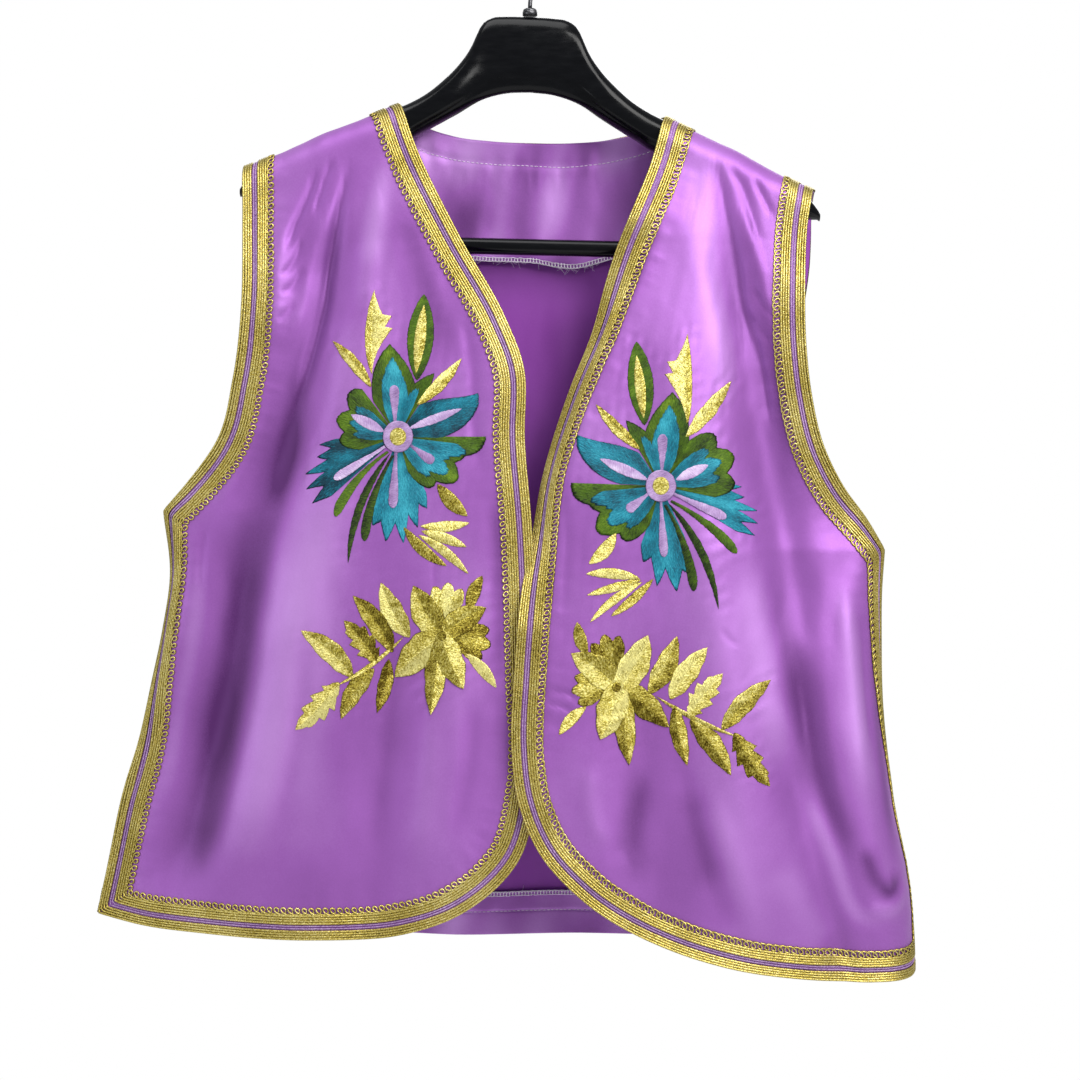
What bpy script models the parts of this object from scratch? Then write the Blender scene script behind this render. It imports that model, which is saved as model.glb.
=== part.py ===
"""An embroidered waistcoat hanging on a plastic suit hanger.

Lengths are in millimetres until a mesh is made, which is in metres. +X is the viewer's right, the front
faces -Y, +Z is up, and the origin is the inside top of the hanger's hook. Left and right are as seen from
the front.

Each cloth panel is cut flat: "across" and "up" are the distances along the cloth, which are the real places
where it faces forwards. A drape function then turns the flat cloth over the shoulder and round the side, and
adds its folds.
"""

import math
from typing import NamedTuple

import bpy
import numpy as np
from mathutils import Vector
from mathutils.geometry import delaunay_2d_cdt

OBJECT_NAME = "embroidered_waistcoat_on_hanger"
MM = 0.001

# Cloth and braid
CLOTH = 2.0  # wall, satin with its lining
FACING = 1.2
SEAM_GAP = 0.3
SEAM_TRIM = 0.3  # how far each panel stops short of a seam line
BRAID_WIDTH = 23.5
BRAID = 1.6
HEM_FACING_DEPTH = 33.0
POINT_SPACING = 24.0
EDGE_SPACING = 21.0
SHOULDER_STEPS = (6.0, 13.0, 21.0, 31.0)  # distances below the shoulder seam that follow its bend
SIDE_STEPS = (8.0, 17.0, 28.0)  # distances inside the back's side seams that follow their bend

# Shoulders and hanger
SHOULDER_RADIUS = 21.0
SHOULDER_REST = 1.8  # from the cloth's middle to the top of the hanger's arm
HANGER_TILT = 0.042  # the hanger hangs lower at the right
NECK_AT_LEFT, NECK_AT_RIGHT = -100.0, 103.0
HANGER_HALF_DEPTH = 14.0
HANGER_REACH = 218.0
ARM_HEIGHT = 27.0
BAR_UP, BAR_RADIUS, BAR_REACH = -240.0, 6.2, 182.0
BAR_TOP_DROP = 3.1  # keeps the bar's flat ends clear of the sloping arm
FERRULE_TOP, FERRULE_BOTTOM, FERRULE_RADIUS = -60.0, -66.2, 5.6
HOOK_WIRE_RADIUS, HOOK_INNER_RADIUS = 1.6, 20.0


class Point(NamedTuple):
    """A place on the flat cloth."""

    across: float
    up: float


class Edge(NamedTuple):
    """A panel's outer edge at one height: where it is seen, its depth, and the cloth's roll beside it."""

    up: float
    across: float
    depth: float
    roll: float
    turn: float


class Fold(NamedTuple):
    """A trough (drop above 0) or ridge (below 0) down the cloth, through three places."""

    top: Point
    middle: Point
    low: Point
    width: float
    drop: float


# The line of the shoulders, as half a span and height before the tilt
SHOULDER = (
    Point(0, -138.4), Point(100, -138.4), Point(125, -149.4), Point(155, -162.0), Point(190, -179.5),
    Point(220, -192.3),
)
HANGER_NECK = (
    Point(0, -67), Point(30, -69), Point(36, -74), Point(45, -93), Point(54, -106), Point(65, -117.5),
    Point(76, -127), Point(90, -135.6), Point(104, -142),
)
HANGER_UNDERSIDE = (
    Point(0, -120), Point(18, -121.5), Point(37, -128), Point(54, -139.5), Point(72, -151), Point(90, -162),
)

FRONT_LEFT_EDGE = (
    Point(-87, -163), Point(-52, -236), Point(-19, -295), Point(-5, -332), Point(-4, -387), Point(1, -449),
    Point(5, -560), Point(6, -640), Point(-10, -698), Point(-50, -734), Point(-96, -750), Point(-160, -753.5),
    Point(-240, -751), Point(-290, -747.5),
)
FRONT_RIGHT_EDGE = (
    Point(92, -175), Point(66, -241), Point(50, -298), Point(30, -352), Point(11, -413), Point(-1, -476),
    Point(-11, -560), Point(-13, -612), Point(-8, -652), Point(8, -690), Point(34, -719), Point(78, -749),
    Point(138, -771), Point(212, -784), Point(262, -787), Point(290, -785),
)
LEFT_ARMHOLE = (
    Edge(-439, -274, -2, 18, 70), Edge(-420, -257, -8, 14, 50), Edge(-388, -233, -16, 10, 35),
    Edge(-342, -220, -22, 8, 25), Edge(-283, -213, -24, 8, 25), Edge(-223, -213, -22, 8, 25),
    Edge(-165, -214, -21, 8, 20),
)
LEFT_SIDE = (
    Edge(-741, -327, 0, 6, 20), Edge(-700, -318, 0, 7, 28), Edge(-653, -307, 0, 10, 42),
    Edge(-610, -293, 0, 15, 60), Edge(-567, -283, 0, 20, 75), Edge(-530, -275, 0, 22, 84),
    Edge(-485, -269, 0, 22, 84), Edge(-439, -274, -2, 18, 70),
)
RIGHT_ARMHOLE = (
    Edge(-468, 265, -2, 26, 75), Edge(-444, 250, -8, 16, 60), Edge(-423, 234, -15, 12, 45),
    Edge(-397, 220, -20, 10, 35), Edge(-352, 208, -25, 8, 25), Edge(-319, 204, -27, 8, 25),
    Edge(-271, 203, -27, 8, 25), Edge(-225, 206, -24, 8, 25), Edge(-180, 214, -21, 8, 20),
)
RIGHT_SIDE = (
    Edge(-778, 288, 12, 30, 112), Edge(-723, 284, 14, 36, 118), Edge(-653, 271, 12, 38, 112),
    Edge(-588, 264, 6, 40, 95), Edge(-536, 263, 2, 40, 82), Edge(-500, 263, 0, 34, 78),
    Edge(-468, 265, -2, 26, 75),
)
BACK_LEFT_ARMHOLE = (
    Edge(-415, -246, 8, 12, 60), Edge(-380, -223, 18, 9, 35), Edge(-330, -209, 25, 8, 25),
    Edge(-270, -209, 26, 8, 25), Edge(-215, -213, 23, 8, 25), Edge(-165, -214, 21, 8, 20),
)
BACK_RIGHT_ARMHOLE = (
    Edge(-440, 243, 8, 12, 60), Edge(-400, 221, 19, 9, 35), Edge(-352, 208, 26, 8, 25),
    Edge(-300, 207, 28, 8, 25), Edge(-250, 213, 26, 8, 25), Edge(-180, 214, 21, 8, 20),
)
BACK_NECK = (
    Point(-84, -143), Point(-60, -151.5), Point(-30, -155.5), Point(0, -157), Point(32, -157), Point(64, -154),
    Point(88, -147.5),
)
BACK_HEM = (
    Point(240, -772), Point(150, -768), Point(60, -764.5), Point(-40, -765), Point(-150, -761),
    Point(-250, -752),
)
NECK_FACING_EDGE = (
    Point(92, -236), Point(62, -246), Point(34, -253), Point(0, -248.5), Point(-38, -247), Point(-88, -238),
)

# How far the middle of each panel stands forwards (below 0) or back (above 0), by height
LEFT_DEPTH = (Point(-27, -240), Point(-34, -340), Point(-38, -450), Point(-42, -600), Point(-46, -760))
RIGHT_DEPTH = (Point(-31, -240), Point(-41, -340), Point(-47, -450), Point(-51, -600), Point(-56, -790))
BACK_DEPTH = (Point(29, -240), Point(35, -400), Point(41, -600), Point(45, -780))

FRONT_LEFT_FOLDS = (
    Fold(Point(-140, -205), Point(-168, -340), Point(-208, -450), 22, 8),
    Fold(Point(-212, -440), Point(-222, -560), Point(-266, -735), 20, 7),
    Fold(Point(-112, -215), Point(-160, -470), Point(-236, -760), 27, -7),
    Fold(Point(-92, -500), Point(-104, -620), Point(-125, -780), 24, 4.5),
    Fold(Point(-52, -470), Point(-62, -600), Point(-66, -740), 26, -4),
    Fold(Point(-182, -175), Point(-190, -250), Point(-196, -320), 14, -4),
)
FRONT_RIGHT_FOLDS = (
    Fold(Point(134, -185), Point(168, -350), Point(206, -560), 19, 8),
    Fold(Point(196, -530), Point(222, -640), Point(262, -770), 15, 9),
    Fold(Point(180, -585), Point(206, -680), Point(238, -800), 13, 6),
    Fold(Point(222, -560), Point(246, -660), Point(262, -760), 16, -7),
    Fold(Point(104, -250), Point(134, -480), Point(168, -800), 28, -7),
    Fold(Point(70, -500), Point(84, -640), Point(98, -800), 24, 5),
)
BACK_FOLDS = (
    Fold(Point(-150, -215), Point(-172, -420), Point(-224, -790), 26, 7),
    Fold(Point(-104, -300), Point(-118, -540), Point(-140, -800), 28, -7),
    Fold(Point(-62, -430), Point(-52, -600), Point(-58, -800), 24, 6),
    Fold(Point(14, -360), Point(10, -560), Point(22, -800), 30, -5),
    Fold(Point(148, -225), Point(168, -420), Point(196, -790), 25, 8),
    Fold(Point(96, -300), Point(112, -540), Point(122, -800), 27, -6),
    Fold(Point(226, -520), Point(238, -640), Point(246, -800), 18, -6),
)


# Rows, curves and flat outlines


def through(rows, at):
    """The rows' second column as a smooth function of their first, at each given value."""
    table = np.array(sorted((float(a), float(b)) for a, b in rows))
    xs, ys = table[:, 0], table[:, 1]
    slopes = np.gradient(ys, xs)
    x = np.clip(at, xs[0], xs[-1])
    i = np.clip(np.searchsorted(xs, x) - 1, 0, len(xs) - 2)
    width = xs[i + 1] - xs[i]
    t = (x - xs[i]) / width
    rise = (1 + 2 * t) * (1 - t) ** 2 * ys[i] + t**2 * (3 - 2 * t) * ys[i + 1]
    return rise + width * (t * (1 - t) ** 2 * slopes[i] - t**2 * (1 - t) * slopes[i + 1])


def ease(t):
    """0 to 1 with no kink at either end."""
    t = np.clip(t, 0.0, 1.0)
    return t * t * (3 - 2 * t)


def evenly(line, step=1.0):
    """The line with a point about every step."""
    length = np.concatenate([[0], np.cumsum(np.linalg.norm(np.diff(line, axis=0), axis=1))])
    at = np.linspace(0, length[-1], max(2, round(length[-1] / step) + 1))
    return np.stack([np.interp(at, length, line[:, 0]), np.interp(at, length, line[:, 1])], axis=1)


def curve(points):
    """A smooth line through the points, as close points."""
    points = np.array(points, float)
    chord = np.concatenate([[0], np.cumsum(np.linalg.norm(np.diff(points, axis=0), axis=1))])
    at = np.linspace(0, chord[-1], 40 * len(points))
    return evenly(np.stack([through(zip(chord, points[:, k]), at) for k in (0, 1)], axis=1))


def stations(line, shares):
    """Points at these shares of the line's length."""
    length = np.concatenate([[0], np.cumsum(np.linalg.norm(np.diff(line, axis=0), axis=1))])
    at = np.array(shares) * length[-1]
    return np.stack([np.interp(at, length, line[:, 0]), np.interp(at, length, line[:, 1])], axis=1)


def shares(length, near_start=(), near_end=()):
    """Shares of a length: at given distances from either end, and evenly spaced between them."""
    first, last = max(near_start, default=0.0), length - max(near_end, default=0.0)
    middle = np.linspace(first, last, max(2, round((last - first) / EDGE_SPACING) + 1))
    at = [0.0, *near_start, *middle, *(length - d for d in near_end), length]
    return np.unique(np.round(at, 3)) / length


def length_of(line):
    return float(np.linalg.norm(np.diff(line, axis=0), axis=1).sum())


def inside(polygon, points):
    """Whether each point is inside the polygon, by counting the sides to its right."""
    x, y = points[:, 0][:, None], points[:, 1][:, None]
    x0, y0 = polygon[:, 0], polygon[:, 1]
    x1, y1 = np.roll(x0, -1), np.roll(y0, -1)
    spans = (y0 > y) != (y1 > y)
    crossing = x0 + (y - y0) * (x1 - x0) / np.where(y1 == y0, 1e-9, y1 - y0)
    return (spans & (x < crossing)).sum(axis=1) % 2 == 1


def nearest(points, line):
    """Each point's distance to the closest point of a close line."""
    return np.sqrt(((points[:, None, :] - line[None, :, :]) ** 2).sum(axis=2).min(axis=1))


def inset(part, whole, polygon, distance):
    """The line this far inside the polygon from one part of its edge, cut where another part is nearer."""
    along = np.gradient(part, axis=0)
    across = np.stack([along[:, 1], -along[:, 0]], axis=1) / np.linalg.norm(along, axis=1)[:, None]
    moved = part + across * distance
    if inside(polygon, moved).mean() < 0.5:
        moved = part - across * distance
    return moved[(nearest(moved, whole) > distance - 0.05) & inside(polygon, moved)]


# The drape


def tilted(rows, across):
    return through(rows, np.abs(across)) - HANGER_TILT * across


def shoulder_line(across):
    """The height of the cloth's middle along the top of the shoulders."""
    return tilted(SHOULDER, across)


def shoulder_seam(across):
    """How far up the flat cloth the shoulder seam is: a quarter turn round the hanger's arm."""
    return shoulder_line(across) + (math.pi / 2 - 1) * SHOULDER_RADIUS


class Outer(NamedTuple):
    """An outer edge of a panel: which way is out, its armhole above the underarm corner, and its side below."""

    sign: int
    armhole: tuple
    side: tuple

    def at(self, up):
        """(seen place outwards, depth, roll, turn in radians) of the edge at each height."""
        columns = []
        for k in range(1, 5):
            upper = through([(row[0], row[k]) for row in self.armhole], up)
            lower = through([(row[0], row[k]) for row in self.side], up)
            columns.append(np.where(up > self.armhole[0].up, upper, lower))
        seen, depth, roll, turn = columns
        return seen * self.sign, depth, roll, np.radians(turn)

    def roll_start(self, up):
        seen, _, roll, turn = self.at(up)
        return seen - roll * np.sin(np.minimum(turn, math.pi / 2))

    def flat(self, up):
        """Where the edge is on the flat cloth."""
        _, _, roll, turn = self.at(up)
        return self.sign * (self.roll_start(up) + roll * turn)


def seam_side(row):
    """The back's side of a side seam.

    It turns the rest of the half circle where the side is round, and less where the panels meet in a crease.
    """
    radius = 11.0 + 0.35 * row.roll
    turn = min(180.0 - row.turn, 50.0 + 1.35 * max(0.0, row.turn - 40.0))
    edge = abs(row.across) - row.roll * max(0.0, 1 - math.sin(math.radians(row.turn))) * (row.turn > 90)
    silhouette = edge + radius * (1 - math.sin(math.radians(turn))) * (turn > 90)
    return Edge(row.up, math.copysign(silhouette, row.across), row.depth, radius, turn)


def seam_trim(outer, other, up):
    """How far each panel stops short of the seam line, so that their walls clear each other where they meet."""
    meet = outer.at(up)[3] + other.at(up)[3]
    return SEAM_TRIM + 1.3 * CLOTH / 2 / np.tan(np.minimum(meet, math.pi) / 2)


FRONT_LEFT_OUTER = Outer(-1, LEFT_ARMHOLE, LEFT_SIDE)
FRONT_RIGHT_OUTER = Outer(1, RIGHT_ARMHOLE, RIGHT_SIDE)
BACK_LEFT_OUTER = Outer(-1, (seam_side(LEFT_SIDE[-1]), *BACK_LEFT_ARMHOLE), tuple(map(seam_side, LEFT_SIDE)))
BACK_RIGHT_OUTER = Outer(1, (seam_side(RIGHT_SIDE[-1]), *BACK_RIGHT_ARMHOLE), tuple(map(seam_side, RIGHT_SIDE)))


def fold_drop(folds, across, up):
    """The sum of the folds: each is a soft furrow that follows a bent line and fades at both ends."""
    total = np.zeros_like(across)
    for fold in folds:
        line = through([(p.up, p.across) for p in (fold.top, fold.middle, fold.low)], up)
        along = np.clip((fold.top.up - up) / (fold.top.up - fold.low.up), 0, 1)
        fade = ease(along * 4) * ease((1 - along) * 5)
        total += fold.drop * fade * np.exp(-(((across - line) / fold.width) ** 2))
    return total


def rolled(outer, forwards, out, up, middle, folds):
    """(place outwards, depth) of cloth whose middle stands at a depth and whose outer strip rolls away.

    forwards is 1 for a front, which rolls back, and -1 for the back, which rolls forwards.
    """
    _, edge_depth, roll, turn = outer.at(up)
    start = outer.roll_start(up)
    angle = np.clip((out - start) / roll, 0, None)
    by_edge = edge_depth - forwards * roll * (1 - np.cos(turn))
    bulge = np.sin(np.clip((start - out) / 190.0, 0, 1) * math.pi / 2)
    plane = by_edge + (middle - by_edge) * bulge
    plane = plane + forwards * folds * ease((start - out) / 26.0)
    seen = np.where(angle > 0, start + roll * np.sin(angle), out)
    return seen, plane + forwards * roll * (1 - np.cos(angle))


def over_shoulder(across, up, depth, forwards, at_top):
    """(height, depth): the cloth hangs plumb from the shoulder, and above that it turns over the arm."""
    start = shoulder_line(across) - SHOULDER_RADIUS
    below = ease((start - up) / 70.0)
    depth = at_top + (depth - at_top) * below
    angle = np.clip((up - start) / SHOULDER_RADIUS, 0, None)
    height = np.where(angle > 0, start + SHOULDER_RADIUS * np.sin(angle), up)
    return height, depth + forwards * SHOULDER_RADIUS * (1 - np.cos(angle))


def drape_front(outer, depths, folds, flat):
    across, up = flat[:, 0], flat[:, 1]
    middle = through([(p.up, p.across) for p in depths], up)
    front_edge = ease((np.abs(across) - 12.0) / 40.0)
    drop = fold_drop(folds, across, up) * front_edge
    seen, depth = rolled(outer, 1, across * outer.sign, up, middle, drop)
    height, depth = over_shoulder(across, up, depth, 1, -SHOULDER_RADIUS)
    return np.stack([seen * outer.sign, depth, height], axis=1)


def drape_back(flat):
    across, up = flat[:, 0], flat[:, 1]
    middle = through([(p.up, p.across) for p in BACK_DEPTH], up)
    drop = fold_drop(BACK_FOLDS, across, up)
    sides = [rolled(o, -1, across * o.sign, up, middle, drop) for o in (BACK_LEFT_OUTER, BACK_RIGHT_OUTER)]
    right = across > 0
    seen = np.where(right, sides[1][0], -sides[0][0])
    depth = np.where(right, sides[1][1], sides[0][1])
    at_top = SHOULDER_RADIUS + 7.0 * ease((96.0 - np.abs(across)) / 45.0)
    height, depth = over_shoulder(across, up, depth, -1, at_top)
    return np.stack([seen, depth, height], axis=1)


# Flat panels


class Band(NamedTuple):
    """A stretch of a panel's edge between sharp corners, with the distances of the lines inside it."""

    line: np.ndarray
    shares: np.ndarray
    insets: tuple


class Flat(NamedTuple):
    """A cut panel: its points, its triangles and the closed lines that pieces on it are cut by."""

    points: np.ndarray
    triangles: np.ndarray
    regions: dict


def edge_line(outer, low, high):
    """The outer edge between two heights of the flat cloth, going up."""
    up = np.linspace(low, high, 400)
    return evenly(np.stack([outer.flat(up), up], axis=1))


def side_line(outer, other, up):
    """A panel's side at these heights, short of the seam line that it shares with the other panel."""
    return np.stack([outer.flat(up) - outer.sign * seam_trim(outer, other, up), up], axis=1)


def shoulder_stations(neck, tip):
    """Points along the shoulder seam from the neck to the tip, with the braid's lines among them."""
    steps = (BRAID_WIDTH / 2, BRAID_WIDTH)
    across = np.linspace(neck, tip, 200)
    line = np.stack([across, shoulder_seam(across) - SEAM_TRIM], axis=1)
    return stations(line, shares(length_of(line), steps, steps))


def ring_lines(bands, polygon, end_lines):
    """For each distance inside a run of bands: one line from end to end, mitred at the corners.

    end_lines are the panel's plain edges before and after the run, leading away from it.
    """
    whole = np.concatenate([band.line for band in bands])

    def on_plain_edge(line, distance):
        along = np.concatenate([[0], np.cumsum(np.linalg.norm(np.diff(line, axis=0), axis=1))])
        return line[np.abs(along - distance).argmin()]

    rings = [np.concatenate([stations(b.line, b.shares)[k > 0 :] for k, b in enumerate(bands)])]
    for distance in bands[0].insets:
        parts = [inset(band.line, whole, polygon, distance) for band in bands]
        starts = [on_plain_edge(end_lines[0], distance)]
        ends = []
        for before, after in zip(parts, parts[1:]):
            corner = (before[-1] + after[0]) / 2
            ends.append(corner)
            starts.append(corner)
        ends.append(on_plain_edge(end_lines[1], distance))
        pieces = []
        for k, part in enumerate(parts):
            line = np.concatenate([[starts[k]], part, [ends[k]]])
            pieces.append(stations(line, bands[k].shares)[k > 0 :])
        rings.append(np.concatenate(pieces))
    return rings


def fill(polygon, taken, extra):
    """Points spread over the polygon, clear of the points taken already."""
    low, high = polygon.min(axis=0), polygon.max(axis=0)
    rows = np.arange(low[1], high[1], POINT_SPACING * 0.87)
    columns = np.arange(low[0], high[0], POINT_SPACING)
    grid = np.array([(x + POINT_SPACING / 2 * (j % 2), y) for j, y in enumerate(rows) for x in columns])
    for points, clear in ((extra, 5.0), (grid, 0.62 * POINT_SPACING)):
        if len(points):
            keep = inside(polygon, points) & (nearest(points, taken) > clear)
            taken = np.concatenate([taken, points[keep]])
    return taken


def cut(outline, lines, loops, extra):
    """A panel from its outline, the open lines and closed loops drawn on it, and more points inside."""
    drawn = [(outline, True), *((line, False) for line in lines), *((loop, True) for loop in loops)]
    edges, count, points = [], 0, []
    for line, closed in drawn:
        steps = range(len(line) if closed else len(line) - 1)
        edges += [(count + k, count + (k + 1) % len(line)) for k in steps]
        points.append(line)
        count += len(line)
    taken = fill(outline, np.concatenate(points), extra)
    made = delaunay_2d_cdt([Vector(p) for p in taken], edges, [], 1, 0.02, False)
    points, triangles = np.array([p[:] for p in made[0]]), np.array(made[2])
    triangles = triangles[inside(outline, points[triangles].mean(axis=1))]
    used, corners = np.unique(triangles, return_inverse=True)
    return points[used], corners.reshape(triangles.shape)


def front_flat(outer, other, edge_rows, neck):
    """A front, cut flat, and the heights of the points on its side seam, where other is the back's edge."""
    tip = outer.flat(np.array([outer.armhole[-1].up]))[0]
    seam = shoulder_stations(neck, tip)
    low, corner = outer.side[0].up, outer.armhole[0].up
    side = side_line(outer, other, np.linspace(low, corner, 300))
    front = curve([seam[0], *edge_rows, side[0]])
    armhole = np.concatenate([[side[-1]], edge_line(outer, corner + 3.0, seam[-1][1])[:-1], [seam[-1]]])
    insets = (BRAID_WIDTH / 2, BRAID_WIDTH)
    hem_steps = (*insets, HEM_FACING_DEPTH)
    bands = [
        Band(front, shares(length_of(front), SHOULDER_STEPS), insets),
        Band(side, shares(length_of(side), hem_steps, insets), insets),
        Band(evenly(armhole), shares(length_of(armhole), (), SHOULDER_STEPS), insets),
    ]
    polygon = np.concatenate([front, side[1:], armhole[1:], seam[::-1][1:-1]])
    rings = ring_lines(bands, polygon, (seam, seam[::-1]))
    outline = np.concatenate([rings[0], seam[::-1][1:-1]])
    extra = np.concatenate([seam - [0, d] for d in SHOULDER_STEPS])
    points, triangles = cut(outline, rings[1:], (), extra)
    braid = np.concatenate([rings[0], rings[-1][::-1]])
    return Flat(points, triangles, {"braid": braid}), stations(side, bands[1].shares)[:, 1]


def back_flat(left_ups, right_ups):
    """The back, cut flat, with the loops of its braids and facings."""
    insets = (BRAID_WIDTH / 2, BRAID_WIDTH)
    tips = [o.flat(np.array([o.armhole[-1].up]))[0] for o in (BACK_LEFT_OUTER, BACK_RIGHT_OUTER)]
    seam_left, seam_right = shoulder_stations(NECK_AT_LEFT, tips[0]), shoulder_stations(NECK_AT_RIGHT, tips[1])
    side_left = side_line(BACK_LEFT_OUTER, FRONT_LEFT_OUTER, left_ups)
    side_right = side_line(BACK_RIGHT_OUTER, FRONT_RIGHT_OUTER, right_ups)
    arms = []
    ends = ((BACK_LEFT_OUTER, side_left, seam_left), (BACK_RIGHT_OUTER, side_right, seam_right))
    for outer, side, seam in ends:
        line = edge_line(outer, outer.armhole[0].up + 3.0, seam[-1][1])
        arms.append(evenly(np.concatenate([[side[-1]], line[:-1], [seam[-1]]])))
    neck = curve([seam_left[0], *BACK_NECK, seam_right[0]])
    hem = curve([side_right[0], *BACK_HEM, side_left[0]])
    around = [neck, seam_right[1:], arms[1][::-1][1:], side_right[::-1][1:], hem[1:], side_left[1:]]
    polygon = np.concatenate([*around, arms[0][1:], seam_left[::-1][1:-1]])
    neck_band = Band(neck, shares(length_of(neck), SHOULDER_STEPS, SHOULDER_STEPS), insets)
    hem_band = Band(hem, shares(length_of(hem), SIDE_STEPS, SIDE_STEPS), (*insets, HEM_FACING_DEPTH))
    arm_bands = [Band(arm, shares(length_of(arm), (), SHOULDER_STEPS), insets) for arm in arms]
    neck_rings = ring_lines([neck_band], polygon, (seam_left, seam_right))
    hem_rings = ring_lines([hem_band], polygon, (side_right, side_left))
    arm_rings = [
        ring_lines([arm_bands[0]], polygon, (side_left[::-1], seam_left[::-1])),
        ring_lines([arm_bands[1]], polygon, (side_right[::-1], seam_right[::-1])),
    ]
    around = [neck_rings[0], seam_right[1:], arm_rings[1][0][::-1][1:], side_right[::-1][1:], hem_rings[0][1:]]
    outline = np.concatenate([*around, side_left[1:], arm_rings[0][0][1:], seam_left[::-1][1:-1]])
    free_edge = stations(curve(NECK_FACING_EDGE), np.linspace(0, 1, 11))
    top = neck_rings[0]
    top = top[(top[:, 0] > free_edge[-1][0] + 8) & (top[:, 0] < free_edge[0][0] - 8)]
    neck_facing = np.concatenate([top, free_edge])
    columns = [np.array([ring[k] for ring in hem_rings]) for k in (2, len(hem_rings[0]) - 3)]
    hem_facing = np.concatenate([hem_rings[0][2:-2], hem_rings[-1][2:-2][::-1]])
    lines = [*neck_rings[1:], *hem_rings[1:], *arm_rings[0][1:], *arm_rings[1][1:], *columns]
    lines += [neck_facing[len(top) - 1 :], np.array([free_edge[-1], top[0]])]
    below_seam = [seam - [0, d] for d in SHOULDER_STEPS for seam in (seam_left, seam_right)]
    by_side = [side + [sign * d, 0] for d in SIDE_STEPS for side, sign in ((side_left, 1), (side_right, -1))]
    points, triangles = cut(outline, lines, (), np.concatenate(below_seam + by_side))
    loops = {
        "braid_back_neck": np.concatenate([neck_rings[0], neck_rings[-1][::-1]]),
        "braid_back_hem": np.concatenate([hem_rings[0], hem_rings[2][::-1]]),
        "braid_back_armhole_left": np.concatenate([arm_rings[0][0], arm_rings[0][-1][::-1]]),
        "braid_back_armhole_right": np.concatenate([arm_rings[1][0], arm_rings[1][-1][::-1]]),
        "back_neck_facing": neck_facing,
        "back_hem_facing": hem_facing,
    }
    return Flat(points, triangles, loops)


# Solids


def point_normals(points, triangles):
    a, b, c = points[triangles[:, 0]], points[triangles[:, 1]], points[triangles[:, 2]]
    faces = np.cross(b - a, c - a)
    normals = np.zeros_like(points)
    for k in range(3):
        np.add.at(normals, triangles[:, k], faces)
    return normals / np.linalg.norm(normals, axis=1)[:, None]


def place(obj, material):
    obj.data.materials.append(material)
    for polygon in getattr(obj.data, "polygons", ()):
        polygon.use_smooth = True


def mesh_object(name, points, faces, collection):
    mesh = bpy.data.meshes.new(name)
    mesh.from_pydata((points * MM).tolist(), [], faces.tolist() if isinstance(faces, np.ndarray) else faces)
    obj = bpy.data.objects.new(name, mesh)
    collection.objects.link(obj)
    return obj


def sheet(name, points, triangles, thickness, collection, material):
    """A wall of even thickness on both sides of the points."""
    obj = mesh_object(name, points, triangles, collection)
    wall = obj.modifiers.new("wall", "SOLIDIFY")
    wall.thickness = thickness * MM
    wall.offset = 0.0
    place(obj, material)
    return obj


def drape_panel(name, flat, drape, facing_out, collection, looks):
    """The panel's wall, and each piece that lies on it: braids outside it and facings inside it."""
    points = drape(flat.points)
    triangles = flat.triangles if facing_out else flat.triangles[:, ::-1]
    normals = point_normals(points, triangles)
    sheet(name, points, triangles, CLOTH, collection, looks["satin"])
    centres = flat.points[flat.triangles].mean(axis=1)
    for piece, loop in flat.regions.items():
        chosen = triangles[inside(loop, centres)]
        used, corners = np.unique(chosen, return_inverse=True)
        is_facing = piece.endswith("facing")
        thickness = FACING if is_facing else BRAID
        move = (CLOTH / 2 + SEAM_GAP + thickness / 2) * (-1 if is_facing else 1)
        moved = points[used] + normals[used] * move
        look = looks["satin_facing" if is_facing else "gold_braid"]
        sheet(piece, moved, corners.reshape(chosen.shape), thickness, collection, look)


def hanger_top(across):
    """The top of the hanger: a neck plate, then arms that carry the shoulders and round off at their ends."""
    span = np.abs(across)
    neck = through(HANGER_NECK, span)
    arm = through(SHOULDER, span) - SHOULDER_REST
    ends = 12.0 * np.clip((span - 194.0) / (HANGER_REACH - 194.0), 0, 1) ** 2
    return np.where(span < 100, neck, arm - ends) - HANGER_TILT * across


def hanger_underside(across):
    span = np.abs(across)
    arch = through(HANGER_UNDERSIDE, span)
    arm = through(SHOULDER, span) - SHOULDER_REST - ARM_HEIGHT + 3.0 * ease((span - 150.0) / 60.0)
    share = ease((span - 80.0) / 24.0)
    return arch * (1 - share) + arm * share - HANGER_TILT * across


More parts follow.
